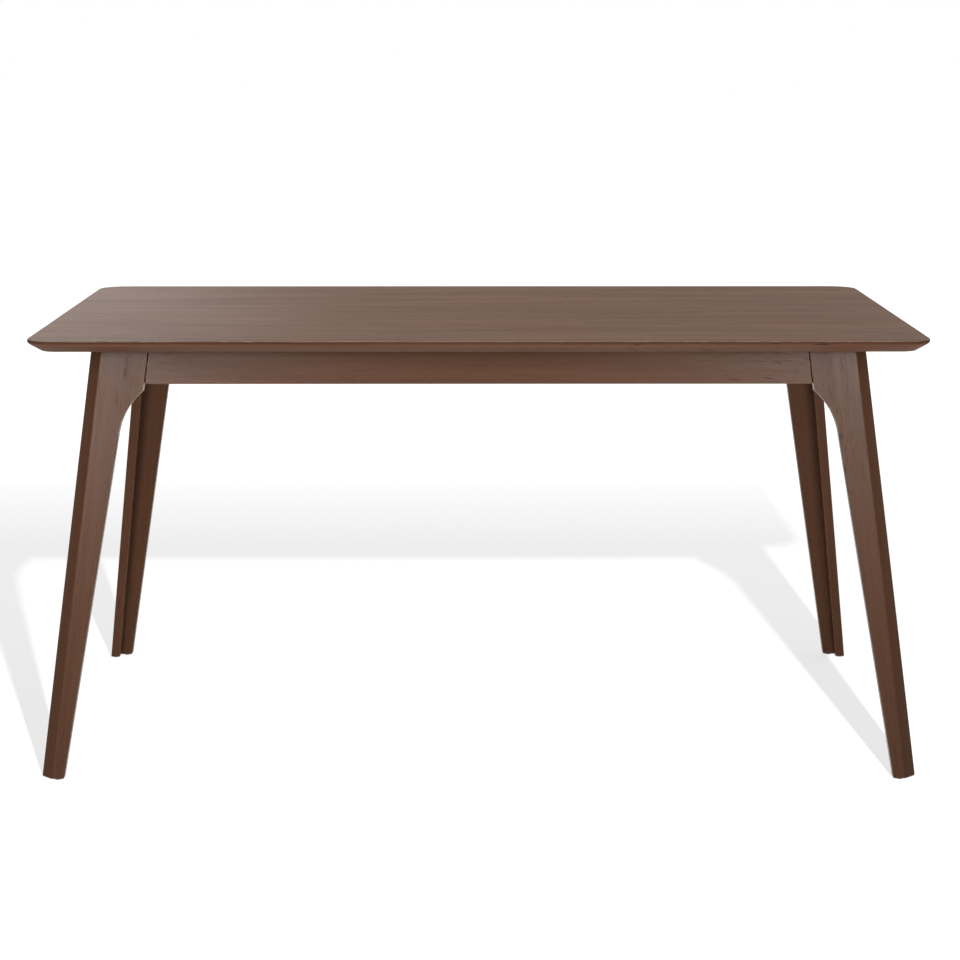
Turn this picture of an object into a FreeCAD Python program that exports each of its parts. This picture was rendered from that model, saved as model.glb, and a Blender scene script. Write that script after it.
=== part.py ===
import FreeCAD, Part
import math
import os

from FreeCAD import Vector

# A dining table with splayed legs. A veneered top with bevelled lippings lies on four leaning rails.
# Each leg is an L of two mitred boards whose ears meet the rails.
# Millimetres. X runs along the table, Y from its front to its back, Z up.
# The origin is on the floor, under the middle of the top.

# Top
table_height = 752.0
top_length = 1500.0
top_width = 900.0
top_thickness = 20.0
top_corner_radius = 50.0
veneer_thickness = 0.6
edge_flat = 6.5            # square edge left above the bevel
edge_undercut = 23.0       # how far the bevel runs in under the top
lipping_width = 42.0

# Legs
splay_angle = 7.1          # degrees from upright, the same to the side and to the front or back
foot_end_inset = 4.0       # from the top's end to the outer corner of the foot
foot_side_inset = 12.0     # from the top's long side to the outer corner of the foot
leg_board_thickness = 18.0
foot_width = 40.0
leg_head_width = 72.0      # width that the taper would reach under the top
corner_chamfer = 18.0
chamfer_easing = 8.0       # radius of the two soft arrises of the chamfer
ear_width = 98.0
ear_drop = 12.0            # from the rail's lower edge down to the tip of the ear
ear_radius = 120.0

# Rails
rail_height = 64.0
rail_thickness = 20.0
seam_gap = 2.0             # open joint between an ear and the end of a rail

# Corner joint between a leg and two rails
block_reach = 58.0         # how far the corner block runs along each leg board
block_height = 58.0
brace_thickness = 24.0
brace_height = 50.0
brace_landing = 16.0       # from the end of a rail to the brace
brace_screw_seat = 12.0    # wood under the head of a brace screw
bolt_diameter = 8.0
bolt_spacing = 26.0
bolt_grip = 30.0           # depth of the hanger bolt in the corner block
bolt_tail = 4.0            # thread past the nut
washer_diameter = 18.0
washer_thickness = 1.6
nut_width = 13.0           # across the flats
nut_height = 6.5

# Battens and cross rail that carry the top
batten_width = 22.0
batten_height = 22.0
batten_gap = 12.0          # from a brace to the end of a batten
batten_end_margin = 40.0   # from the end of a batten to its first screw
long_batten_screws = 3
end_batten_screws = 2
cross_rail_thickness = 22.0
cross_rail_height = 46.0
cross_rail_screw_seat = 20.0   # wood under the head of a cross rail screw
cross_rail_screw_spacing = 220.0

# Fasteners
screw_diameter = 4.0
screw_head_diameter = 8.0
screw_head_height = 2.4
screw_tip = 4.0            # length of the pointed end
screw_cover = 5.0          # wood left beyond the point of a screw
dowel_diameter = 8.0
dowel_depth = 14.0         # depth of a dowel in an ear, a rail or the cross rail
dowel_cover = 5.0          # wood left beyond the end of a cross rail dowel
dowel_spacing = 20.0
fit_clearance = 0.2        # round a fastener, on the radius
hole_clearance = 0.5       # round a bolt in the brace, on the radius

# Glides under the feet
glide_diameter = 13.0
glide_height = 1.5
glide_edge = 0.5           # bevel of the rim that slides on the floor
nail_diameter = 2.0
nail_length = 14.0

# Places that follow from the sizes
underside = table_height - top_thickness
rail_bottom = underside - rail_height
ear_tip = rail_bottom - ear_drop
rail_setback = ear_width + seam_gap
lean = math.tan(math.radians(splay_angle))
taper = (leg_head_width - foot_width) / underside
foot_x = top_length / 2 - foot_end_inset
foot_y = top_width / 2 - foot_side_inset
core_bottom = underside + veneer_thickness
core_top = table_height - veneer_thickness
core_thickness = core_top - core_bottom
top_screw_bite = veneer_thickness + core_thickness - screw_cover
rail_screw_bite = rail_thickness - screw_cover
brace_middle = underside - brace_height / 2
brace_outer = rail_setback + brace_landing + rail_thickness
brace_inner = brace_outer + brace_thickness * math.sqrt(2)
block_face = 2 * leg_board_thickness + block_reach
chamfer_angle = math.radians(45)
diagonal = Vector(1, 1, 0).normalize()
upward = Vector(0, 0, 1)
origin = Vector(0, 0, 0)


def corner_x(height):
    """X of the outer corner line of a right leg at a height."""
    return foot_x - lean * height


def corner_y(height):
    """Y of the outer corner line of a back leg at a height."""
    return foot_y - lean * height


def sweep(points, path):
    """Prism over a polygon, along a vector."""
    return Part.Face(Part.makePolygon(points + points[:1])).extrude(path)


def aimed(shape, place, direction):
    """Copy of a shape drawn along +Z from the origin, set at a place and turned to a direction."""
    copy = shape.copy()
    copy.Placement = FreeCAD.Placement(place, FreeCAD.Rotation(upward, direction))
    return copy


def to_front(shape):
    """The same piece on the front of the table."""
    return shape.mirror(origin, Vector(0, 1, 0))


def to_left(shape):
    """The same piece on the left of the table."""
    return shape.mirror(origin, Vector(1, 0, 0))


def turned_to_end(shape):
    """A piece drawn along the back rail, brought to the right end of the table."""
    return shape.mirror(origin, Vector(1, -1, 0))


def across_corner(shape):
    """The twin of a piece of the back right leg, on the other side of its mitre."""
    return shape.mirror(Vector(foot_x, foot_y, 0), Vector(1, -1, 0))


def all_corners(shapes):
    """Copies of the back right corner's pieces at the four corners."""
    right = list(shapes) + [to_front(shape) for shape in shapes]
    return right + [to_left(shape) for shape in right]


def both_ends(shapes):
    """Copies of pieces on the right of the table, on its right and its left."""
    return list(shapes) + [to_left(shape) for shape in shapes]


def both_sides(shapes):
    """Copies of pieces at the back of the table, at its back and its front."""
    return list(shapes) + [to_front(shape) for shape in shapes]


# Fasteners, drawn along +Z with the seat of the head at the origin

def wood_screw(length):
    """Countersunk screw whose flat head ends at the origin, with its point at the given length."""
    shank = screw_diameter / 2
    head = Part.makeCone(screw_head_diameter / 2, shank, screw_head_height)
    body = Part.makeCylinder(shank, length - screw_tip - screw_head_height, Vector(0, 0, screw_head_height))
    tip = Part.makeCone(shank, 0, screw_tip, Vector(0, 0, length - screw_tip))
    return head.fuse([body, tip]).removeSplitter()


def screw_space(length, access):
    """Room for a wood screw, with a wider way in behind its head."""
    shank = screw_diameter / 2 + fit_clearance
    head = screw_head_diameter / 2 + fit_clearance
    hole = Part.makeCylinder(shank, length + fit_clearance)
    sink = Part.makeCone(head, shank, screw_head_height)
    way_in = Part.makeCylinder(head, access, Vector(0, 0, -access))
    return hole.fuse([sink, way_in])


def dowel(depth_one, depth_two):
    """Dowel that reaches from one depth behind the origin to another in front of it."""
    return Part.makeCylinder(dowel_diameter / 2, depth_one + depth_two, Vector(0, 0, -depth_one))


def dowel_space(depth_one, depth_two):
    """Room for a dowel, a little longer and wider than it."""
    radius = dowel_diameter / 2 + fit_clearance
    length = depth_one + depth_two + 2 * fit_clearance
    return Part.makeCylinder(radius, length, Vector(0, 0, -depth_one - fit_clearance))


def hex_nut():
    """Hexagon nut with its bolt's hole."""
    corner = nut_width / math.sqrt(3)
    turns = [math.radians(60) * side for side in range(6)]
    points = [Vector(corner * math.cos(turn), corner * math.sin(turn), 0) for turn in turns]
    bore = Part.makeCylinder(bolt_diameter / 2 + fit_clearance, nut_height)
    return sweep(points, upward * nut_height).cut(bore)


def washer():
    """Flat washer with its bolt's hole."""
    bore = Part.makeCylinder(bolt_diameter / 2 + fit_clearance, washer_thickness)
    return Part.makeCylinder(washer_diameter / 2, washer_thickness).cut(bore)


def glide():
    """Nail-on glide: a low disc with a bevelled rim that stands on the floor, and its nail."""
    radius = glide_diameter / 2
    rim = Part.makeCone(radius - glide_edge, radius, glide_edge)
    disc = Part.makeCylinder(radius, glide_height - glide_edge, Vector(0, 0, glide_edge))
    nail = Part.makeCylinder(nail_diameter / 2, nail_length, Vector(0, 0, glide_height))
    return rim.fuse([disc, nail]).removeSplitter()


# Top

def rounded_outline(inset, height):
    """Wire of the top's outline with its round corners, set in by some amount."""
    x = top_length / 2 - inset
    y = top_width / 2 - inset
    radius = top_corner_radius - inset
    cut = radius * (1 - math.sqrt(0.5))
    edges = []
    for side_x, side_y in ((1, 1), (-1, 1), (-1, -1), (1, -1)):
        on_end = Vector(side_x * x, side_y * (y - radius), height)
        on_arc = Vector(side_x * (x - cut), side_y * (y - cut), height)
        on_side = Vector(side_x * (x - radius), side_y * y, height)
        ends = (on_end, on_side) if side_x == side_y else (on_side, on_end)
        if edges:
            edges.append(Part.makeLine(edges[-1].Vertexes[-1].Point, ends[0]))
        edges.append(Part.Arc(ends[0], on_arc, ends[1]).toShape())
    edges.append(Part.makeLine(edges[-1].Vertexes[-1].Point, edges[0].Vertexes[0].Point))
    return Part.Wire(edges)


def top_body():
    """The whole top: a square edge over a bevel that runs in under it."""
    bevel_top = table_height - edge_flat
    rim = Part.Face(rounded_outline(0, bevel_top)).extrude(upward * edge_flat)
    outlines = [rounded_outline(edge_undercut, underside), rounded_outline(0, bevel_top)]
    bevel = Part.makeLoft(outlines, True, True)
    return rim.fuse(bevel).removeSplitter()


def layer(body, bottom, top):
    """Slice of the top between two heights."""
    corner = Vector(-top_length / 2, -top_width / 2, bottom)
    return body.common(Part.makeBox(top_length, top_width, top - bottom, corner))


def lipping_blank(half_run, half_stand):
    """Square-edged strip along the side at +Y, mitred at both ends."""
    inner_run = half_run - lipping_width
    inner_stand = half_stand - lipping_width
    points = [Vector(-half_run, half_stand, core_bottom), Vector(half_run, half_stand, core_bottom),
              Vector(inner_run, inner_stand, core_bottom), Vector(-inner_run, inner_stand, core_bottom)]
    return sweep(points, upward * core_thickness)


def top_pieces(screw_spaces):
    """Core, two veneers and four lippings of the top, with the screw holes from below."""
    body = top_body()
    middle = layer(body, core_bottom, core_top)
    half_length = top_length / 2
    half_width = top_width / 2
    core_length = top_length - 2 * lipping_width
    core_width = top_width - 2 * lipping_width
    core_corner = Vector(-core_length / 2, -core_width / 2, core_bottom)
    core = Part.makeBox(core_length, core_width, core_thickness, core_corner)
    back = middle.common(lipping_blank(half_length, half_width))
    right = middle.common(turned_to_end(lipping_blank(half_width, half_length)))
    return {
        "top_core_panel": core.cut(screw_spaces),
        "top_face_veneer": layer(body, core_top, table_height),
        "top_backing_veneer": layer(body, underside, core_bottom).cut(screw_spaces),
        "top_back_lipping": back,
        "top_front_lipping": to_front(back),
        "top_right_lipping": right,
        "top_left_lipping": to_left(right),
    }


# Legs, drawn for the back right corner

def inset_point(from_end, from_side):
    """Point on the floor, measured in from the two outer faces of the leg."""
    return Vector(foot_x - from_end, foot_y - from_side, 0)


def leaning(section, bottom, top):
    """Prism over a plan section drawn at floor level, which leans with the leg between two heights."""
    along = Vector(-lean, -lean, 1)
    face = Part.Face(section)
    face.translate(along * bottom)
    return face.extrude(along * (top - bottom))


def board_section():
    """Plan section of the board on the leg's back: mitre, half of the chamfer, soft arris and face."""
    half_turn = chamfer_angle / 2
    ease = chamfer_easing * math.tan(half_turn)
    on_chamfer = inset_point(corner_chamfer - ease * math.cos(chamfer_angle), ease * math.sin(chamfer_angle))
    on_face = inset_point(corner_chamfer + ease, 0)
    on_arc = inset_point(corner_chamfer + ease - chamfer_easing * math.sin(half_turn),
                         chamfer_easing * (1 - math.cos(half_turn)))
    ring = [on_face, inset_point(ear_width, 0), inset_point(ear_width, leg_board_thickness),
            inset_point(leg_board_thickness, leg_board_thickness),
            inset_point(corner_chamfer / 2, corner_chamfer / 2), on_chamfer]
    edges = [Part.makeLine(start, end) for start, end in zip(ring, ring[1:])]
    edges.append(Part.Arc(on_chamfer, on_arc, on_face).toShape())
    return Part.Wire(edges)


def board_profile():
    """Prism over the board's front view: tapered shaft, sweep up to the ear, ear and top end."""
    slope = lean + taper
    along = Vector(-slope, 0, 1).normalize()
    inward = Vector(-1, 0, -slope).normalize()
    foot = Vector(corner_x(0) - foot_width, 0, 0)
    start = foot + along * (glide_height / along.z)
    tip = Vector(corner_x(ear_tip) - ear_width, 0, ear_tip)
    reach = (tip - foot).dot(inward)
    rise = math.sqrt(2 * ear_radius * reach - reach * reach)
    tangent = foot + along * ((tip - foot).dot(along) - rise)
    centre = tangent + inward * ear_radius
    middle = centre + ((tangent + tip) * 0.5 - centre).normalize() * ear_radius
    head = Vector(corner_x(underside) - ear_width, 0, underside)
    outside = [Vector(foot_x, 0, underside), Vector(foot_x, 0, glide_height)]
    edges = [Part.makeLine(start, tangent), Part.Arc(tangent, middle, tip).toShape()]
    edges.append(Part.makeLine(tip, head))
    ring = [head] + outside + [start]
    edges.extend(Part.makeLine(one, two) for one, two in zip(ring, ring[1:]))
    return Part.Face(Part.Wire(edges)).extrude(Vector(0, foot_y, 0))


def glide_place():
    """Middle of the glide under the leg's back board."""
    return inset_point((corner_chamfer + foot_width) / 2, leg_board_thickness / 2)


def glide_hole():
    """Hole for the nail of a glide."""
    radius = nail_diameter / 2 + fit_clearance
    return Part.makeCylinder(radius, nail_length + fit_clearance, upward * glide_height)


def rail_dowel_place(run, stand):
    """Middle of the seam between an ear and the end of a rail, for a rail drawn along X."""
    height = underside - rail_height / 2
    return Vector(run(height) - ear_width - seam_gap / 2, stand(height) - leg_board_thickness / 2, height)


def leg_board():
    """Board on the leg's back, with the holes for its glide and its rail's dowel."""
    blank = leaning(board_section(), glide_height, underside)
    depth = dowel_depth + seam_gap / 2
    dowel_hole = aimed(dowel_space(depth, depth), rail_dowel_place(corner_x, corner_y), Vector(1, 0, 0))
    nail_hole = glide_hole()
    nail_hole.translate(glide_place())
    return blank.common(board_profile()).cut([dowel_hole, nail_hole])


def beyond_diagonal(distance):
    """Large upright prism of all that lies inwards of the diagonal at a distance from the leg's corner."""
    reach = top_length
    edge = Vector(corner_x(brace_middle), corner_y(brace_middle), 0) - diagonal * distance
    side = Vector(1, -1, 0).normalize() * reach
    points = [edge + side, edge - side, edge - side - diagonal * reach, edge + side - diagonal * reach]
    return sweep(points, upward * table_height)


def inside_corner(inset, bottom, top):
    """Leaning prism of all that lies inwards of the leg's two outer faces by an inset."""
    far = top_width / 2
    corners = ((inset, inset), (far, inset), (far, far), (inset, far))
    points = [inset_point(from_end, from_side) for from_end, from_side in corners]
    return leaning(Part.makePolygon(points + points[:1]), bottom, top)


def bolt_places():
    """Points of the leg's diagonal at its corner, at the heights of the two hanger bolts."""
    heights = [brace_middle - bolt_spacing / 2, brace_middle + bolt_spacing / 2]
    return [Vector(corner_x(brace_middle), corner_y(brace_middle), height) for height in heights]


def bolt_span():
    """Distances from the corner, along the diagonal, of a hanger bolt's buried end and its free end."""
    buried = block_face / math.sqrt(2) - bolt_grip
    free = brace_inner / math.sqrt(2) + washer_thickness + nut_height + bolt_tail
    return buried, free


def corner_block():
    """Block glued into the L of a leg, bored for the two hanger bolts."""
    buried, free = bolt_span()
    wedge = inside_corner(leg_board_thickness, underside - block_height, underside)
    bore = Part.makeCylinder(bolt_diameter / 2 + fit_clearance, free - buried)
    bores = [aimed(bore, place - diagonal * buried, diagonal * -1) for place in bolt_places()]
    return wedge.cut(beyond_diagonal(block_face / math.sqrt(2))).cut(bores)


def brace_screws():
    """Screws that hold one brace to the back rail, with the room that they need."""
    length = brace_screw_seat + rail_screw_bite
    screw = wood_screw(length)
    space = screw_space(length, brace_thickness)
    screws = []
    spaces = []
    for height in (brace_middle - bolt_spacing / 2, brace_middle + bolt_spacing / 2):
        landing = (brace_outer + brace_inner) / 2 - rail_thickness
        place = Vector(corner_x(brace_middle) - landing,
                       corner_y(height) - rail_thickness - brace_screw_seat, height)
        screws.append(aimed(screw, place, Vector(0, 1, 0)))
        spaces.append(aimed(space, place, Vector(0, 1, 0)))
    return screws, spaces


def corner_brace(screw_spaces):
    """Diagonal brace between two rails, bored for the hanger bolts and its screws."""
    outer = beyond_diagonal(brace_outer / math.sqrt(2))
    inner = beyond_diagonal(brace_inner / math.sqrt(2))
    band = inside_corner(rail_thickness, underside - brace_height, underside).common(outer).cut(inner)
    bore = Part.makeCylinder(bolt_diameter / 2 + hole_clearance, brace_inner)
    bores = [aimed(bore, place, diagonal * -1) for place in bolt_places()]
    return band.cut(bores + screw_spaces)


def bolt_hardware():
    """Hanger bolts, washers and nuts of one corner."""
    buried, free = bolt_span()
    seat = brace_inner / math.sqrt(2)
    bolt = Part.makeCylinder(bolt_diameter / 2, free - buried)
    bolts = []
    washers = []
    nuts = []
    for place in bolt_places():
        bolts.append(aimed(bolt, place - diagonal * buried, diagonal * -1))
        washers.append(aimed(washer(), place - diagonal * seat, diagonal * -1))
        nuts.append(aimed(hex_nut(), place - diagonal * (seat + washer_thickness), diagonal * -1))
    return bolts, washers, nuts


# Rails, drawn along X at the back of the table

def rail(run, stand, cutters):
    """Leaning rail between two legs, with ends that lean as the legs do."""
    profile = []
    for side, height in ((-1, rail_bottom), (1, rail_bottom), (1, underside), (-1, underside)):
        profile.append(Vector(side * (run(height) - rail_setback), 0, height))
    section = [Vector(-foot_x, stand(rail_bottom), rail_bottom),
               Vector(-foot_x, stand(rail_bottom) - rail_thickness, rail_bottom),
               Vector(-foot_x, stand(underside) - rail_thickness, underside),
               Vector(-foot_x, stand(underside), underside)]
    slab = sweep(section, Vector(2 * foot_x, 0, 0))
    return sweep(profile, Vector(0, foot_x, 0)).common(slab).cut(cutters)


def rail_dowel(run, stand):
    """Dowel across the seam at the right end of a rail, and the room for it."""
    depth = dowel_depth + seam_gap / 2
    place = rail_dowel_place(run, stand)
    along = Vector(1, 0, 0)
    return aimed(dowel(depth, depth), place, along), aimed(dowel_space(depth, depth), place, along)


# Battens, drawn along X at the back of the table

def batten_end(run):
    """Right end of a batten, short of the brace."""
    return run(underside) - brace_inner + rail_thickness - batten_gap


def spaced(start, end, count):
    """Evenly spaced places from the first to the last screw of a batten."""
    first = start + batten_end_margin
    step = (end - start - 2 * batten_end_margin) / (count - 1)
    return [first + step * index for index in range(count)]


def batten(start, end, stand, screw_spaces):
    """Batten in the angle between a rail and the top, with its screw holes."""
    bottom = underside - batten_height
    inner = stand(underside) - rail_thickness - batten_width
    section = [Vector(start, stand(underside) - rail_thickness, underside),
               Vector(start, stand(bottom) - rail_thickness, bottom),
               Vector(start, inner, bottom), Vector(start, inner, underside)]
    return sweep(section, Vector(end - start, 0, 0)).cut(screw_spaces)


def top_screws(places, stand):
    """Screws up through a batten into the top, with the room that they need."""
    length = batten_height + top_screw_bite
    across = stand(underside) - rail_thickness - batten_width / 2
    points = [Vector(place, across, underside - batten_height) for place in places]
    screws = [aimed(wood_screw(length), point, upward) for point in points]
    spaces = [aimed(screw_space(length, fit_clearance), point, upward) for point in points]
    return screws, spaces


def rail_screws(places, stand):
    """Screws through a batten into its rail, with the room that they need."""
    height = underside - batten_height / 2
    inner = stand(underside) - rail_thickness - batten_width
    length = stand(height) - rail_thickness - inner + rail_screw_bite
    points = [Vector(place, inner, height) for place in places]
    outward = Vector(0, 1, 0)
    screws = [aimed(wood_screw(length), point, outward) for point in points]
    spaces = [aimed(screw_space(length, fit_clearance), point, outward) for point in points]
    return screws, spaces


def between(places):
    """Places midway between neighbours."""
    return [(one + two) / 2 for one, two in zip(places, places[1:])]


# Cross rail at the middle of the table

def cross_rail_dowels():
    """Dowels between the cross rail and the back rail, with the room for them."""
    in_rail = rail_thickness - dowel_cover
    dowels = []
    spaces = []
    for offset in (-dowel_spacing / 2, dowel_spacing / 2):
        height = underside - cross_rail_height / 2 + offset
        place = Vector(0, corner_y(height) - rail_thickness, height)
        dowels.append(aimed(dowel(dowel_depth, in_rail), place, Vector(0, 1, 0)))
        spaces.append(aimed(dowel_space(dowel_depth, in_rail), place, Vector(0, 1, 0)))
    return dowels, spaces


def cross_rail_screws():
    """Deep-set screws up through the cross rail into the top, with the room that they need."""
    length = cross_rail_screw_seat + top_screw_bite
    access = cross_rail_height - cross_rail_screw_seat
    seat = underside - cross_rail_screw_seat
    places = [Vector(0, step * cross_rail_screw_spacing, seat) for step in (-1, 0, 1)]
    screws = [aimed(wood_screw(length), place, upward) for place in places]
    spaces = [aimed(screw_space(length, access), place, upward) for place in places]
    return screws, spaces


def cross_rail(cutters):
    """Rail under the middle of the top, from the front rail to the back rail."""
    bottom = underside - cross_rail_height
    side = -cross_rail_thickness / 2
    section = []
    for back, height in ((-1, bottom), (1, bottom), (1, underside), (-1, underside)):
        section.append(Vector(side, back * (corner_y(height) - rail_thickness), height))
    return sweep(section, Vector(cross_rail_thickness, 0, 0)).cut(cutters)


def fastener_group(shapes):
    """Separate solids of one kind of fastener, kept as one node."""
    return Part.makeCompound(shapes)


def build():
    """All the pieces of the table, by name."""
    half_cross = cross_rail_thickness / 2
    long_end = batten_end(corner_x)
    short_end = batten_end(corner_y)
    long_places = spaced(half_cross, long_end, long_batten_screws)
    short_places = spaced(-short_end, short_end, end_batten_screws)

    long_top, long_top_spaces = top_screws(long_places, corner_y)
    long_side, long_side_spaces = rail_screws(between(long_places), corner_y)
    short_top, short_top_spaces = top_screws(short_places, corner_x)
    short_side, short_side_spaces = rail_screws(between(short_places), corner_x)
    cross_screws, cross_screw_spaces = cross_rail_screws()
    cross_dowels, cross_dowel_spaces = cross_rail_dowels()
    long_dowel, long_dowel_space = rail_dowel(corner_x, corner_y)
    short_dowel, short_dowel_space = rail_dowel(corner_y, corner_x)
    back_screws, back_screw_spaces = brace_screws()
    end_screws = [across_corner(screw) for screw in back_screws]
    end_screw_spaces = [across_corner(space) for space in back_screw_spaces]
    end_top = [turned_to_end(screw) for screw in short_top]
    end_top_spaces = [turned_to_end(space) for space in short_top_spaces]
    end_side = [turned_to_end(screw) for screw in short_side]
    end_side_spaces = [turned_to_end(space) for space in short_side_spaces]
    end_dowel = turned_to_end(short_dowel)
    end_dowel_space = turned_to_end(short_dowel_space)

    back_cutters = both_ends(long_side_spaces + [long_dowel_space] + back_screw_spaces) + cross_dowel_spaces
    end_cutters = end_side_spaces + both_sides([end_dowel_space] + end_screw_spaces)
    back_rail = rail(corner_x, corner_y, back_cutters)
    right_rail = turned_to_end(rail(corner_y, corner_x, [])).cut(end_cutters)
    back_batten = batten(half_cross, long_end, corner_y, long_top_spaces + long_side_spaces)
    end_batten = batten(-short_end, short_end, corner_x, short_top_spaces + short_side_spaces)
    right_batten = turned_to_end(end_batten)

    board = leg_board()
    back_glide = glide()
    back_glide.translate(glide_place())
    bolts, washers, nuts = bolt_hardware()
    corner_pieces = {
        "leg_face_board": board,
        "leg_side_board": across_corner(board),
        "leg_corner_block": corner_block(),
        "corner_brace": corner_brace(back_screw_spaces + end_screw_spaces),
        "top_batten": back_batten,
    }
    pieces = top_pieces(all_corners(long_top_spaces) + both_ends(end_top_spaces) + cross_screw_spaces)
    for name, piece in corner_pieces.items():
        pieces["back_right_" + name] = piece
        pieces["front_right_" + name] = to_front(piece)
        pieces["back_left_" + name] = to_left(piece)
        pieces["front_left_" + name] = to_left(to_front(piece))
    pieces.update({
        "back_rail": back_rail,
        "front_rail": to_front(back_rail),
        "right_rail": right_rail,
        "left_rail": to_left(right_rail),
        "right_end_batten": right_batten,
        "left_end_batten": to_left(right_batten),
        "centre_cross_rail": cross_rail(cross_screw_spaces + both_sides(cross_dowel_spaces)),
        "leg_hanger_bolts": fastener_group(all_corners(bolts)),
        "leg_bolt_washers": fastener_group(all_corners(washers)),
        "leg_bolt_nuts": fastener_group(all_corners(nuts)),
        "corner_brace_screws": fastener_group(all_corners(back_screws + end_screws)),
        "top_fixing_screws": fastener_group(all_corners(long_top) + both_ends(end_top)),
        "batten_screws": fastener_group(all_corners(long_side) + both_ends(end_side)),
        "cross_rail_screws": fastener_group(cross_screws),
        "cross_rail_dowels": fastener_group(both_sides(cross_dowels)),
        "rail_end_dowels": fastener_group(all_corners([long_dowel, end_dowel])),
        "foot_glides": fastener_group(all_corners([back_glide, across_corner(back_glide)])),
    })
    return pieces


os.makedirs("parts", exist_ok=True)
for node, shape in build().items():
    shape.exportStep("parts/" + node + ".step")
    state = "valid" if shape.isValid() else "not valid"
    print(node, len(shape.Solids), "solids", round(shape.Volume), "mm3", state)
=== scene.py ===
"""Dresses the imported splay-leg dining table: finished shapes, wood and metal finishes, studio and camera."""

import logging
import math
from collections.abc import Callable, Sequence
from dataclasses import dataclass, replace
from enum import Enum
from functools import partial

import bmesh
import bpy
import numpy as np
from mathutils import Matrix, Vector


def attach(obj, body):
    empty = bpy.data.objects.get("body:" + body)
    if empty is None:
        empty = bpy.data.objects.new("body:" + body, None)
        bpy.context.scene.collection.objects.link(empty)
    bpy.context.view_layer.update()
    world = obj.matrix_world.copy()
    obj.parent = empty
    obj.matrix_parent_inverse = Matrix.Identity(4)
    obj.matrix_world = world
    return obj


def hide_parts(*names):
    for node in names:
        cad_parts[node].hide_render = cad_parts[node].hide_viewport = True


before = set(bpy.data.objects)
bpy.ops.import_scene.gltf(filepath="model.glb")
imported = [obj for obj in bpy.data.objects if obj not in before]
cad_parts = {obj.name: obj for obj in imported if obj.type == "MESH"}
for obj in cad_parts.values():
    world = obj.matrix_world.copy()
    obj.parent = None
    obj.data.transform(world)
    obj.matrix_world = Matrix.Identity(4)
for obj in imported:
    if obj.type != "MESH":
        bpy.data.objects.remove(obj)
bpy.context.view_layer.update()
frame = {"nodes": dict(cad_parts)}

log = logging.getLogger("table")

Flat = tuple[float, float]
Place = tuple[float, float, float]
Colour = tuple[float, float, float]
Ring = tuple[float, float, float, float]
Piece = bpy.types.Object
Mesh = bpy.types.Mesh
Face = bpy.types.MeshPolygon
Edge = bmesh.types.BMEdge
Draft = bmesh.types.BMesh
Tree = bpy.types.NodeTree
Node = bpy.types.Node
Socket = bpy.types.NodeSocket
Material = bpy.types.Material
EdgeRule = Callable[[Edge], float]
FaceRule = Callable[[Face, float], float]

ROOT = "root"

# Attributes that the finishes and the geometry trees read
GRAIN = "grain"
EASED = "eased"
# Painted shade: darkens and dulls faces in the seams, on the leg chamfers and on the top's edge flat
PAINTED_SHADE = "stain"
FACING = "facing"
CORNER_ANGLE = "corner_angle"
CORNER_SIDE = "corner_side"
PROFILE_PLACE = "profile_place"

# Kinds of node sockets
NUMBER = "NodeSocketFloat"
WHOLE = "NodeSocketInt"
VECTOR = "NodeSocketVector"
GEOMETRY = "NodeSocketGeometry"
OBJECT = "NodeSocketObject"
MATERIAL = "NodeSocketMaterial"

# Lengths in metres, shares, angles, directions and colours
UNDERSIDE = 0.732
MERGE_DISTANCE = 0.00001
FINE_MERGE_DISTANCE = 0.000001
SAME_WIDTH = 0.00005
LEVEL_TOLERANCE = 0.0001
HOLE_REACH = 0.006
END_SHARE = 0.05
FACE_WEIGHT = 100
FLAT_ANGLE = math.radians(0.5)
EASED_ANGLE = math.radians(25)
SHARP_ANGLE = math.radians(36)
ALONG_COSINE = 0.9
QUARTER_TURN = math.pi / 2
FULL_TURN = 2 * math.pi
LENGTHWISE = Vector((1, 0, 0))
CROSSWISE = Vector((0, 1, 0))
UP = Vector((0, 0, 1))
WHITE = (1.0, 1.0, 1.0, 1.0)


class Corner(Enum):
    """The four corners of the table, with the signs of their X and Y."""

    FRONT_LEFT = (-1, -1)
    FRONT_RIGHT = (1, -1)
    BACK_LEFT = (-1, 1)
    BACK_RIGHT = (1, 1)

    @property
    def label(self) -> str:
        """Start of the names of this corner's pieces."""
        return self.name.lower()


class GrainSource(Enum):
    """Where a wood finish reads the run of the grain from."""

    BOARD = "the board's own grain attribute"
    TABLE = "the table's own axes"


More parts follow.
